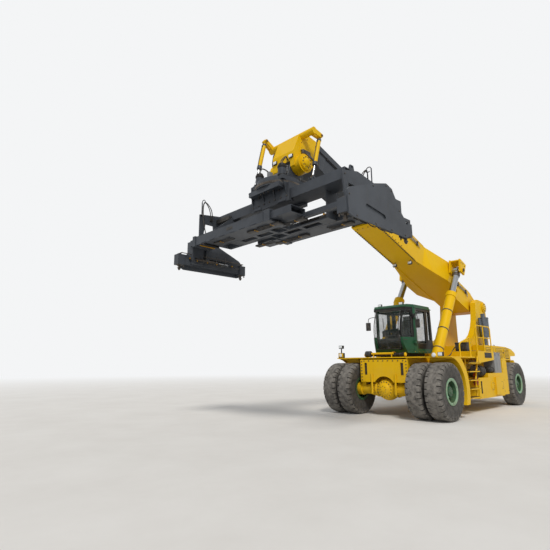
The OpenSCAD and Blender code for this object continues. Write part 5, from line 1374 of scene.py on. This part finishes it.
class STACKER_OT_cylinders(bpy.types.Operator):
    """Adds glands, ports, valves, hoses and clamps to the lift cylinders, and caps and collars to the dampers"""
    bl_idname = "stacker.cylinders"
    bl_label = "Cylinders"

    def execute(self, context):
        hose = context.scene.stacker_fittings.hose / 2
        for side, s in (("left", 1), ("right", -1)):
            m = lift_frame(s)
            gland, steel, rubber, black, bolts, eye, cap, rod = (Form() for _ in range(8))
            lathe(gland, [(3.2, .171), (3.205, .196), (3.395, .196), (3.402, .188), (3.404, .128), (3.43, .124),
                (3.432, .117)], (0, 0, 0), 0)
            hexagons(bolts, circle(.158, 12, (3.403, 0, 0), 0), 1, .03, .02)
            lathe(gland, [(.235, .12), (.24, .178), (.33, .178), (.335, .171)], (0, 0, 0), 0)
            closed_lathe(gland, [(s * .076, .12), (s * .088, .12), (s * .09, .11)], (0, 0, 0), 1, 40)
            # Pipe from the foot's valve along the barrel to the gland's port
            box(steel, (.36, -.07, .165), (.56, .07, .27), .012)
            hexagons(bolts, [(x, y, .27) for x in (.39, .53) for y in (-.045, .045)], 3, .022, .014)
            box(steel, (3.1, -.045, .165), (3.19, .045, .225), .01)
            run(rubber, [(.56, .03, .22), (.7, .03, .225), (1.2, .03, .205), (2.6, .03, .205), (2.95, .02, .215),
                (3.11, 0, .2)], hose, 12, 50)
            run(rubber, [(.56, -.03, .22), (.66, -.03, .215), (.9, -.035, .195), (1.5, -.035, .195)], hose * .8, 12)
            if s > 0:
                # Loose hose that snakes over the barrel's front
                run(rubber, [(3.12, -.05, .2), (2.95, -.13, .2), (2.65, -.13, .225), (2.35, -.02, .25),
                    (2.05, .06, .235), (1.8, .03, .215)], hose * .9, 12, 40)
            for x in (.95, 1.75, 2.55):
                band(black, x, .02, .171, .177, (0, 0, 0), 0)
                box(black, (x - .025, -.06, .17), (x + .025, .06, .232), .008)
            make_all("lift_barrel_" + side, (gland, "lift_gland_" + side, "yellow_paint"),
                (steel, "lift_valve_" + side, "cast_steel"), (rubber, "lift_hoses_" + side, "hose_rubber"),
                (black, "lift_clamps_" + side, "black_plastic"), (bolts, "lift_bolts_" + side, "cast_steel"), place=m)
            # Wiper ring and grease fitting of the rod's eye
            reach = float(np.linalg.norm(on_boom([LIFT_PIN])[0] - LIFT_BASE))
            lathe(eye, [(reach - .3, .1155), (reach - .28, .135), (reach - .2, .142), (reach - .155, .12)], (0, 0, 0),
                0, 40)
            make(eye.turned(m), "lift_eye_collar_" + side, "lift_rod_" + side, "cast_steel")
            # Damper: end cap, collar bolts and dust sleeve
            top, foot = np.array(((-.37, .83), (-.02, -.5)) if s > 0 else ((.25, 1.05), (.63, -.5)))
            span = foot - top
            head = on_boom([(11.377, 0, -.728)])[0]
            dm = placed((head[0] + top[0], s * .76, head[2] + top[1]), -math.atan2(span[1], span[0]))
            lathe(cap, [(.1, .035), (.105, .06), (.16, .06), (.165, .056)], (0, 0, 0), 0, 32)
            lathe(cap, [(.86, .056), (.865, .071), (.955, .071), (.965, .062), (.967, .034)], (0, 0, 0), 0, 32)
            run(cap, [(.2, 0, .062), (.3, 0, .074), (.75, 0, .074), (.86, 0, .066)], .009, 8, 20)
            box(cap, (.17, -.02, .05), (.22, .02, .08), .006)
            make(cap.turned(dm), "damper_caps_" + side, "damper_barrel_" + side, "slate_paint")
            long_way = float(np.linalg.norm(span))
            lathe(rod, [(long_way - .1, .0305), (long_way - .09, .042), (long_way - .055, .044),
                (long_way - .045, .035)], (0, 0, 0), 0, 24)
            make(rod.turned(dm), "damper_collar_" + side, "damper_rod_" + side, "cast_steel")
        return {"FINISHED"}


def lid(x):
    """Height of the hood's lid at x, straight between the places where its slope changes."""
    return float(np.interp(x, (-8.5, -8.44, -8.05, -7.4, -6.4, -5.0), (1.98, 2.06, 2.2, 2.28, 2.3, 2.3)))


class STACKER_OT_rear(bpy.types.Operator):
    """Adds louvres, seams, latches, tail lamps, exhaust clamps and the tow pin at the rear"""
    bl_idname = "stacker.rear"
    bl_label = "Engine end"

    def execute(self, context):
        dark, paint, bolts, steel, red, amber, heat = (Form() for _ in range(7))
        for s in (1, -1):
            # Louvred panels in the hood's sides: blades leaning out at their lower edge, over a black sheet of painted
            # shade that stands for the dark openings between them
            for x0, x1 in ((-5.75, -5.12), (-6.95, -6.15), (-7.72, -7.1)):
                box(dark, (x0, s * 1.196, 1.8), (x1, s * 1.204, 2.2), .003, .03)
                for z in np.arange(1.84, 2.17, .052):
                    prism(paint, [(s * 1.2, z + .034), (s * 1.207, z + .034), (s * 1.226, z + .004), (s * 1.223, z)],
                        x0 + .03, x1 - .03, 0, .003)
                for x in (x0 + .02, x1 - .02):
                    box(paint, (x - .018, s * 1.2, 1.8), (x + .018, s * 1.216, 2.2), .004)
            # Seam between the hood and its lid, hinges and latches
            box(dark, (-7.84, s * 1.197, 2.215), (-5.02, s * 1.2025, 2.223), .001)
            for x in (-5.95, -7.03):
                box(dark, (x - .004, s * 1.197, 1.76), (x + .004, s * 1.2025, 2.21), .001)
                box(steel, (x - .05, s * 1.2, 2.02), (x + .05, s * 1.222, 2.06), .006)
            # Counterweight: lifting pockets, as black patches of painted shade, and tail lamps
            box(dark, (-8.26, s * 1.292, 1.3), (-8.06, s * 1.303, 1.38), .003, .03)
            box(dark, (-8.512, s * .9, 1.22), (-8.498, s * 1.22, 1.4), .01, .02)
            box(red, (-8.524, s * .915, 1.235), (-8.508, s * 1.06, 1.385), .006, .02)
            box(amber, (-8.524, s * 1.07, 1.235), (-8.508, s * 1.205, 1.385), .006, .02)
            hexagons(bolts, [(-8.499, s * y, 1.1) for y in (.35, .55)], -1, .05, .024)
            # Bolts of the face plates beside the hood
            hexagons(bolts, [(x, s * 1.721, z) for x in (-5.6, -5.2) for z in (.6, 1.0, 1.4, 1.72)], 2 * s, .022, .01)
        # Radiator grille in the body's rear wall, its bars over a black strip of painted shade, and on the lid's slope
        box(dark, (-7.868, -.85, 1.79), (-7.858, .85, 1.885), .003)
        for y in np.arange(-.8, .81, .08):
            box(steel, (-7.878, y - .006, 1.79), (-7.864, y + .006, 1.885), .002)
        for x in (-5.93, -7.05):
            box(dark, (x - .004, -1.19, lid(x) - .002), (x + .004, 1.19, lid(x) + .0025), .001)
        for x in np.arange(-7.95, -7.15, .075):
            prism(paint, [(x, lid(x) - .004), (x, lid(x) + .018), (x + .012, lid(x + .012) + .022),
                (x + .055, lid(x + .055) - .002)], -.42, .42, 1, .002)
        for x in (-5.25, -6.7):
            for s in (1, -1):
                run(steel, [(x - .07, s * .98, lid(x)), (x - .07, s * .98, lid(x) + .045), (x, s * .98, lid(x) + .065),
                    (x + .07, s * .98, lid(x) + .045), (x + .07, s * .98, lid(x))], .009)
        # Tow pin in its jaw at the middle of the counterweight
        for z in (.98, 1.12):
            prism(steel, np.array([(-8.5, -.12), (-8.5, .12), (-8.6, .09), (-8.64, 0), (-8.6, -.09)]) + (.14, 0), z,
                z + .03, 2, .006)
        closed_lathe(steel, [(.95, .022), (1.19, .022), (1.2, .034), (1.225, .034)], (-8.44, 0, 0), 2, 20)
        # Exhaust: clamps, heat guard with its slots, and the cut outlet
        stack = (-5.75, 1.0, 0)
        for z in (2.66, 3.38):
            band(heat, z, .02, .19, .199, stack, 2)
            box(bolts, (-5.56, .975, z - .015), (-5.515, 1.025, z + .015), .005)
        lathe(heat, [(2.3, .13), (2.315, .13), (2.32, .095), (2.36, .092)], stack, 2, 40)
        lathe(heat, [(3.42, .1), (3.43, .1), (3.435, .0865), (3.45, .0865)], stack, 2, 40)
        # The seams are dark joints; the black sheets behind the louvres and the grille and in the lifting pockets are
        # painted shade
        make_all("chassis", (dark, "hood_seams_and_painted_shade", "black_paint"), (paint, "hood_louvres", "yellow_paint"),
            (bolts, "rear_bolts", "cast_steel"), (steel, "rear_fittings", "cast_steel"),
            (red, "tail_lamps", "red_lens"), (amber, "turn_lamps", "amber_lens"),
            (heat, "exhaust_guard", "dark_grey_paint"))
        # Valves, pipes and boxes on the deck between the pylons and the cab
        block, line, hoses, case = (Form() for _ in range(4))
        box(block, (-2.55, -.42, 1.815), (-2.15, .42, 2.02), .02)
        for y in np.linspace(-.34, .34, 6):
            closed_lathe(block, [(-2.16, .036), (-2.08, .036), (-2.07, .028), (-2.04, .026)], (0, y, 1.95), 0, 20)
            run(hoses, [(-2.54, y, 1.93), (-2.66, y, 1.93), (-2.95, y * .9, 1.86), (-3.4, y * .8, 1.85),
                (-4.6, y * .75, 1.85)], .017, 10, 40)
            hexagons(line, [(-2.35, y, 2.02)], 3, .036, .02)
        for s in (1, -1):
            # Curved yellow guard rails beside the lift cylinders
            run(block, [(-2.05, s * .62, 1.815), (-2.05, s * .62, 2.05), (-2.15, s * .62, 2.2), (-2.45, s * .62, 2.22),
                (-2.7, s * .62, 2.12), (-2.78, s * .62, 1.95), (-2.78, s * .62, 1.815)], .022, 12, 40)
        box(case, (-3.42, .9, 2.046), (-3.08, 1.32, 2.33), .02, .03)
        box(case, (-3.43, .89, 2.3), (-3.07, 1.33, 2.345), .012, .03)
        run(hoses, [(-3.25, .9, 2.2), (-3.25, .82, 2.18), (-3.2, .74, 2.05), (-3.1, .68, 1.9), (-2.95, .6, 1.85)],
            .016, 10)
        make_all("chassis", (block, "deck_valves_and_guards", "yellow_paint"), (line, "valve_screws", "brass"),
            (hoses, "deck_hoses", "hose_rubber"), (case, "electric_box", "black_plastic"))
        return {"FINISHED"}


def spreader_half(s):
    """Spreader pieces are given about its middle. The far half is the near one turned half round."""
    return placed((SPREADER_X, 0, 0), 0 if s > 0 else math.pi, "Z")


RING_TEETH = 108


class STACKER_OT_head(bpy.types.Operator):
    """Adds pin caps, the hose block, lamps and the slewing ring's teeth and bolts under the boom head"""
    bl_idname = "stacker.head"
    bl_label = "Boom head and yoke"

    def execute(self, context):
        caps, bolts, block, brass, black, glass = (Form() for _ in range(6))
        for s in (1, -1):
            closed_lathe(caps, [(s * .578, .19), (s * .592, .19), (s * .598, .18), (s * .602, .115), (s * .622, .11),
                (s * .64, .085), (s * .648, .05)], HEAD_PIN)
            hexagons(bolts, circle(.152, 10, (HEAD_PIN[0], s * .6, HEAD_PIN[2]), 1), 2 * s, .03, .016)
            lathe(caps, [(s * .538, .256), (s * .545, .262), (s * .5, .262), (s * .49, .256)], HEAD_PIN, 1, 56)
            # Cover plate with its bolts on the head's side
            p = on_boom([(11.02, 0, .2), (11.42, 0, .16), (11.6, 0, -.1), (11.55, 0, -.36), (11.02, 0, -.3)])[:,
                [0, 2]]
            prism(caps, p, *sorted((s * .399, s * .412)), 1, .004)
            hexagons(bolts, [(x, s * .412, z) for x, z in p * .9 + p.mean(0) * .1], 2 * s, .026, .012)
            # Manifold over the pin into which the hoses go
            box(block, (4.1, s * .4, 7.16), (4.42, s * .47, 7.3), .012)
            for x in (4.18, 4.25, 4.32):
                closed_lathe(brass, [(7.11, .02), (7.165, .022)], (x, s * .435, 0), 2, 12)
            # Lever pins: washers and split nuts
            for x, z, y in ((4.05, 7.68, .76), (4.67, 7.9, -.76)):
                if (y > 0) == (s > 0):
                    for d in (-.078, .078):
                        closed_lathe(brass, [(y + d - .008, .044), (y + d + .008, .044)], (x, 0, z), 1, 24)
                        hexagons(bolts, [(x, y + d, z)], 2 if d > 0 else -2, .05, .02)
            box(black, (4.66, s * .3 - .07, 6.99), (4.74, s * .3 + .07, 7.09), .012, .02)
            box(glass, (4.738, s * .3 - .058, 7.0), (4.75, s * .3 + .058, 7.08), .004, .012)
        for k in range(5):
            tube(brass, [(4.3 + .05 * k, .3 - .15 * k, 7.6 - .03 * k), (4.3 + .05 * k, .3 - .15 * k, 7.66 - .03 * k)],
                .018, 10)
        make_all("boom_extension", (caps, "head_covers", "yellow_paint"), (bolts, "head_bolts", "cast_steel"),
            (block, "hose_manifolds", "cast_steel"), (brass, "head_fittings", "brass"),
            (black, "head_lamps", "black_plastic"), (glass, "head_lamp_glasses", "clear_lens"))
        # Yoke: motor caps with ports, valve stack behind the tongue, bolts of its plate
        motor, screws, stack, wires = (Form() for _ in range(4))
        for s in (1, -1):
            shaft = (5.18, s * .42, 0)
            closed_lathe(motor, [(6.48, .106), (6.5, .116), (6.545, .116), (6.555, .098), (6.6, .09), (6.615, .07)],
                shaft, 2, 36)
            hexagons(screws, circle(.1, 8, (5.18, s * .42, 6.552), 2), 3, .02, .012)
            lathe(motor, [(6.262, .105), (6.262, .135), (6.29, .135), (6.3, .105)], shaft, 2, 36)
            box(stack, (4.86, s * .24, 6.48), (5.0, s * .33, 6.7), .012)
            for z in (6.53, 6.59, 6.65):
                closed_lathe(stack, [(s * .33, .02), (s * .38, .02), (s * .39, .014)], (4.93, 0, z), 1, 14)
            box(wires, (4.3, s * .42, 6.262), (4.62, s * .54, 6.36), .012, .02)
            hexagons(screws, [(x, s * .5, 6.261) for x in (4.7, 4.85, 5.0)], 3, .04, .026)
        ring = context.scene.stacker_fittings.ring_bolts
        places = circle(.5, ring, (SPREADER_X, 0, 6.2605), 2)
        hexagons(screws, places[np.abs(places[:, 1]) > .25], 3, .034, .022)
        # Grease lines over the sloped cover
        for y in (-.12, -.06, .06, .12):
            run(wires, [(4.34, y, 6.5), (4.3, y * 1.5, 6.44), (4.29, y * 2.2, 6.34), (4.33, y * 3.4, 6.3)], .009, 8,
                20)
        make_all("yoke", (motor, "motor_caps", "black_paint"), (screws, "yoke_screws", "cast_steel"),
            (stack, "yoke_valves", "grey_paint"), (wires, "yoke_lines", "black_plastic"))
        # Slewing ring: gear teeth round its edge, bolts under its plate
        teeth, carriage, pads = Form(), Form(), Form()
        tooth = (.626, .641, .641, .626)
        t = np.arange(RING_TEETH * 4) * 2 * np.pi / (RING_TEETH * 4)
        r = np.tile(tooth, RING_TEETH)
        prism(teeth, np.stack([SPREADER_X + r * np.cos(t), r * np.sin(t)], 1), 6.055, 6.125, 2, .004)
        places = circle(.53, 24, (SPREADER_X, 0, 5.879), 2)
        hexagons(carriage, places[np.abs(places[:, 0] - SPREADER_X) > .36], -3, .034, .02)
        for sx in (1, -1):
            x = SPREADER_X + sx * .341
            for y in np.linspace(-.62, .62, 7):
                hexagons(carriage, [(x, y, 5.68)], sx, .034, .018)
            for y in (-.45, .45):
                box(pads, (x - .002, y - .14, 5.56), (x + sx * .02, y + .14, 5.62), .005)
            for y in (-.62, -.2, .2, .62):
                prism(pads, [(x - .001, 5.72), (x + sx * .1, 6.0), (x + sx * .18, 6.03), (x - .001, 6.03)], y - .01,
                    y + .01, 1, .002)
        make_all("carriage", (teeth, "slew_ring_teeth", "cast_steel"), (carriage, "carriage_bolts", "cast_steel"),
            (pads, "carriage_gussets", "slate_paint"))
        return {"FINISHED"}


class STACKER_OT_spreader(bpy.types.Operator):
    """Adds pads, cylinders, lock gear, lamps and cable trays to the spreader"""
    bl_idname = "stacker.spreader"
    bl_label = "Spreader"

    def execute(self, context):
        finishes = {"plates": "slate_paint", "bolts": "cast_steel", "black": "black_plastic", "barrel": "black_paint",
            "brass": "brass", "glass": "clear_lens", "mast": "slate_paint"}
        part = {n: Form() for n in finishes}
        for s in (1, -1):
            f = {n: Form() for n in finishes}
            plates, bolts, black, barrel, brass, glass, mast = f.values()
            # Pad holders on the mouth's collar and weld beads along the sleeve
            for x in (.46, .62, .78):
                box(plates, (x - .05, -2.595, 5.204), (x + .05, -2.485, 5.222), .004)
                for y in (-2.575, -2.505):
                    hexagons(bolts, [(x, y, 5.222)], 3, .026, .016)
            for z in (4.932, 5.178):
                for x in (.342, .898):
                    tube(plates, [(x, -2.48, z), (x, .39, z)], .006, 6)
            # Stitch plates and a dark inspection cover on the front web
            for y in np.arange(-2.2, .3, .42):
                box(plates, (.899, y, 4.945), (.91, y + .2, 4.975), .003)
            box(black, (.899, -1.05, 5.03), (.903, -.8, 5.12), .002, .015)
            # Cylinder that pushes the end out: barrel on the sleeve's lower flank, bright rod towards the end beam
            tube(barrel, [(.24, -.3, 5.1), (.24, -1.9, 5.1)], .048, 20)
            lathe(barrel, [(-1.9, .048), (-1.9, .058), (-1.98, .058), (-1.99, .032)], (.24, 0, 5.1), 1, 24)
            for y in (-.5, -1.2, -1.8):
                box(black, (.2, y - .03, 5.05), (.345, y + .03, 5.07), .005)
            # Girder: cable tray with its cables, clamps
            prism(black, [(.284, 5.64), (.284, 5.76), (.292, 5.76), (.292, 5.65), (.352, 5.65), (.352, 5.76),
                (.36, 5.76), (.36, 5.64)], -2.25, -1.64, 1)
            for x in (.303, .322, .341):
                run(black, [(x, -2.24, 5.662), (x, -2.0, 5.668), (x, -1.8, 5.662), (x, -1.65, 5.668)], .009, 8, 20)
            # Portal bolts, and the lamp under the girder's end
            for x, z in ((-.28, 5.7), (-.2, 5.3), (.2, 5.3), (.34, 5.3), (.8, 5.3), (.8, 5.72)):
                hexagons(bolts, [(x, -2.341, z)], -2, .03, .016)
            box(black, (.08, -2.22, 5.5), (.18, -2.1, 5.6), .012, .015)
            box(glass, (.178, -2.21, 5.51), (.188, -2.11, 5.59), .003, .01)
            # Valve block with its coils on the floor between the sleeves
            box(black, (.06, -1.56, 4.962), (.3, -1.3, 5.06), .012)
            for k in range(4):
                closed_lathe(brass, [(5.058, .018), (5.12, .018), (5.125, .012)], (.09 + .055 * k, -1.42, 0), 2, 12)
            for k in range(3):
                run(black, [(.1 + .05 * k, -1.31, 5.0), (.1 + .05 * k, -1.2, 5.0), (.12 + .05 * k, -.8, 4.985),
                    (.12 + .04 * k, -.2, 4.985), (.1 + .04 * k, .3, 5.02)], .011, 8, 30)
            # Under the sleeve: twist motor, manifold, hoses in loops and plated fittings
            for x, y in ((-.62, -.55), (-.4, -1.15), (.62, -1.75), (.6, -.35)):
                box(black, (x - .09, y - .13, 4.885), (x + .09, y + .13, 4.931), .01)
                for k in (-1, 0, 1):
                    closed_lathe(brass, [(y + .125, .017), (y + .165, .017), (y + .17, .011)], (x + .05 * k, 0, 4.908),
                        1, 10)
                    run(black, [(x + .05 * k, y + .16, 4.905), (x + .05 * k, y + .26, 4.9),
                        (x + .07 * k, y + .42, 4.905), (x + .09 * k, y + .6, 4.915)], .012, 8, 16)
            tube(brass, [(.36, -2.3, 4.905), (.86, -2.3, 4.905)], .018, 10)
            tube(barrel, [(.36, -2.1, 4.895), (.86, -2.1, 4.895)], .032, 14)
            # Clamp lug with its hole on the sleeve's inner end
            prism(plates, [(.4, 5.198), (.4, 5.26), (.45, 5.3), (.5, 5.26), (.5, 5.198)], .36, .385, 1, .003)
            # Hose mast on the portal, with the eye that holds the hoses
            run(mast, [(.83, -2.315, 5.8), (.83, -2.315, 6.05), (.83, -2.315, 6.2)], .015, 10, 12)
            run(mast, [(.83, -2.315, 6.2), (.83, -2.27, 6.25), (.83, -2.2, 6.24), (.83, -2.16, 6.18),
                (.83, -2.2, 6.13), (.83, -2.27, 6.14)], .011)
            box(mast, (.78, -2.338, 5.76), (.88, -2.3, 5.81), .006)
            for n in finishes:
                part[n].join(f[n].turned(spreader_half(s)))
        for n, finish in finishes.items():
            make(part[n], "spreader_" + n, "spreader", finish)
        # What slides out with each end
        for side, s in (("left", 1), ("right", -1)):
            steel, plates, rod, lamp, red, brass, hoses = (Form() for _ in range(7))
            for x in (-1.1295, 1.1295):
                c = (x, 2.9265, 0)
                # Lock: nut and washer on the pin, lever and link over the housing
                lathe(steel, [(4.69, .034), (4.69, .062), (4.705, .062), (4.71, .034)], c, 2, 28)
                hexagons(steel, [(x, 2.9265, 4.71)], 3, .085, .034)
                box(steel, (x - .025, 2.8, 4.735), (x + .025, 2.94, 4.752), .005, .02)
                lathe(steel, [(4.386, .034), (4.386, .075), (4.4, .082), (4.402, .034)], c, 2, 36)
                # Seat plates at the housing's corners and the landing pin beside the lock
                for dx in (-.085, .085):
                    hexagons(plates, [(x + dx, 2.822, 4.55)], -2, .022, .012)
                    closed_lathe(steel, [(4.335, .014), (4.34, .018), (4.41, .018)], (x + dx, 2.85, 0), 2, 14)
                box(plates, (x - .112, 2.814, 4.66), (x + .112, 2.82, 4.7), .003)
            # Link rod between the two levers
            tube(steel, [(-1.13, 2.805, 4.744), (1.13, 2.805, 4.744)], .012, 10)
            tube(plates, [(-.95, 2.875, 4.651), (1.0, 2.875, 4.651)], .006, 6)
            # Bright rod of the extension cylinder, and its yoke on the gusset
            tube(rod, [(-.24, 1.96, 5.1), (-.24, 2.6, 5.1), (-.24, 2.86, 5.1)], .026, 20)
            box(plates, (-.3, 2.8, 4.645), (-.18, 2.86, 5.15), .01)
            # Twist cylinder along the end beam with its hoses, plated ports and valve
            tube(steel, [(-.72, 2.72, 4.6), (.1, 2.72, 4.6)], .034, 16)
            tube(rod, [(.1, 2.72, 4.6), (.46, 2.72, 4.6)], .016)
            for x in (-.66, .04, -.3):
                closed_lathe(brass, [(4.54, .012), (4.548, .02), (4.572, .02)], (x, 2.72, 0), 2, 12)
                run(hoses, [(x, 2.72, 4.55), (x + .05, 2.7, 4.5), (x + .16, 2.66, 4.52), (x + .22, 2.6, 4.62),
                    (x + .2, 2.55, 4.76)], .012)
            for x in (-.85, -.45, .25, .7):
                run(hoses, [(x, 2.84, 4.62), (x + .04, 2.74, 4.56), (x + .16, 2.72, 4.54), (x + .26, 2.8, 4.6)], .011,
                    8, 20)
                box(brass, (x - .02, 2.8, 4.6), (x + .02, 2.85, 4.64), .006)
            # Bolts round the end plate's edge
            for x, z in ((-.86, 4.36), (-.3, 4.36), (.3, 4.36), (.95, 4.37), (1.17, 4.75), (.33, 5.16), (-.17, 5.31),
                    (-.38, 5.25), (-.66, 4.87), (-1.07, 4.72)):
                hexagons(steel, [(x, 3.066, z)], 2, .028, .014)
            # Wear strips on the beam and its indicator lamps
            box(plates, (-.84, 1.2, 5.143), (-.8, 2.6, 5.15), .002)
            box(lamp, (-.7, 2.79, 5.145), (-.6, 2.86, 5.2), .01, .015)
            box(red, (-.575, 2.79, 5.145), (-.5, 2.86, 5.2), .01, .015)
            make_all("extension_" + side, (steel, "lock_gear_" + side, "cast_steel"),
                (plates, "end_fittings_" + side, "slate_paint"), (rod, "extension_rod_" + side, "bright_steel"),
                (brass, "lock_ports_" + side, "brass"), (hoses, "lock_hoses_" + side, "hose_rubber"),
                (lamp, "lock_lamp_" + side, "amber_lens"), (red, "lock_lamp_red_" + side, "red_lens"),
                place=spreader_half(s))
        return {"FINISHED"}


SKY_WHITE = "#F4F5F6"


class STACKER_OT_stage(bpy.types.Operator):
    """Lays the pale floor and sets the sky and the soft sun"""
    bl_idname = "stacker.stage"
    bl_label = "Floor and light"

    def execute(self, context):
        stage = context.scene.stacker_stage
        # Floor: a disc of rings, pale cement near the machine and white towards the horizon
        rings = np.concatenate([[0.0], np.geomspace(4, 260, 24)])
        turn = np.linspace(0, 2 * np.pi, 64, endpoint=False)
        points = np.stack([rings[:, None] * np.cos(turn), rings[:, None] * np.sin(turn),
            np.full((len(rings), 64), -.001)], -1)
        mesh = bpy.data.meshes.new("floor")
        mesh.from_pydata(points.reshape(-1, 3).tolist(), [], grid_faces(len(rings), 64)[:, ::-1].tolist())
        floor = bpy.data.objects.new("floor", mesh)
        context.scene.collection.objects.link(floor)
        material, tree, shader, place = blank("swept cement floor")
        fill(tree, shader, {"Base Color": coated(tree, "#DEDCD8", (clouds(tree, place, .6, .35, .7, .5), "#D2CFCA")),
            "Roughness": .9, "Specular IOR Level": .1})
        far = add_node(tree, "ShaderNodeVectorMath", {0: place}, operation="LENGTH").outputs["Value"]
        far = add_node(tree, "ShaderNodeMapRange", {"Value": far, "From Min": 9.0, "From Max": 60.0},
            interpolation_type="SMOOTHSTEP").outputs[0]
        amount = add_node(tree, "ShaderNodeMath", {0: far, 1: seen_straight(tree)}, operation="MULTIPLY").outputs[0]
        glow = add_node(tree, "ShaderNodeEmission", {"Color": SKY_WHITE, "Strength": 1.0}).outputs[0]
        both = add_node(tree, "ShaderNodeMixShader", {0: amount, 1: shader.outputs[0], 2: glow})
        fill(tree, tree.nodes["Material Output"], {"Surface": both.outputs[0]})
        mesh.materials.append(material)
        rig.stage(floor)
        world = bpy.data.worlds.new("overcast sky")
        context.scene.world = world
        world.use_nodes = True
        tree = world.node_tree
        light = add_node(tree, "ShaderNodeBackground", {"Color": "#F2F5FA", "Strength": stage.sky}).outputs[0]
        white = add_node(tree, "ShaderNodeBackground", {"Color": SKY_WHITE, "Strength": 1.0}).outputs[0]
        both = add_node(tree, "ShaderNodeMixShader", {0: seen_straight(tree), 1: light, 2: white})
        fill(tree, tree.nodes["World Output"], {"Surface": both.outputs[0]})
        sun = bpy.data.objects.new("soft sun", bpy.data.lights.new("soft sun", "SUN"))
        sun.data.energy = stage.sun
        sun.data.angle = math.radians(14)
        sun.data.color = (1.0, .965, .91)
        sun.matrix_world = Vector((.75, .85, 1.15)).to_track_quat("Z", "Y").to_matrix().to_4x4()
        context.scene.collection.objects.link(sun)
        context.scene.view_settings.view_transform = "Standard"
        return {"FINISHED"}


OPERATORS = [c for c in list(globals().values()) if isinstance(c, type) and issubclass(c, bpy.types.Operator)]
GROUPS = {"stacker_paint": StackerPaint, "stacker_wheels": StackerWheels, "stacker_fittings": StackerFittings,
    "stacker_stage": StackerStage}


class STACKER_PT_sidebar(bpy.types.Panel):
    """Lists the machine's groups of pieces and their sizes"""
    bl_label = "Reach stacker"
    bl_idname = "STACKER_PT_sidebar"
    bl_space_type = "VIEW_3D"
    bl_region_type = "UI"
    bl_category = "Reach stacker"

    def draw(self, context):
        for operator in OPERATORS:
            self.layout.operator(operator.bl_idname)
        for name, group in GROUPS.items():
            for key in group.__annotations__:
                self.layout.prop(getattr(context.scene, name), key)


def register():
    """Registers the classes and hangs the groups of sizes and colours on the scene."""
    for cls in [*GROUPS.values(), *OPERATORS, STACKER_PT_sidebar]:
        bpy.utils.register_class(cls)
    for name, group in GROUPS.items():
        setattr(bpy.types.Scene, name, bpy.props.PointerProperty(type=group))


def unregister():
    """Takes the groups off the scene and the classes out again."""
    for name in GROUPS:
        delattr(bpy.types.Scene, name)
    for cls in [STACKER_PT_sidebar, *reversed(OPERATORS), *reversed(list(GROUPS.values()))]:
        bpy.utils.unregister_class(cls)


def main():
    """Runs every operator in the order they are written, then writes the two boxes' sizes."""
    register()
    for operator in OPERATORS:
        group, name = operator.bl_idname.split(".")
        getattr(getattr(bpy.ops, group), name)()
    low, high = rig.bounds()
    json.dump({"cad": [list(CAD_LOW), list(CAD_HIGH)], "visual": [list(low), list(high)]},
        open("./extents.json", "w"))


if __name__ == "__main__":
    main()
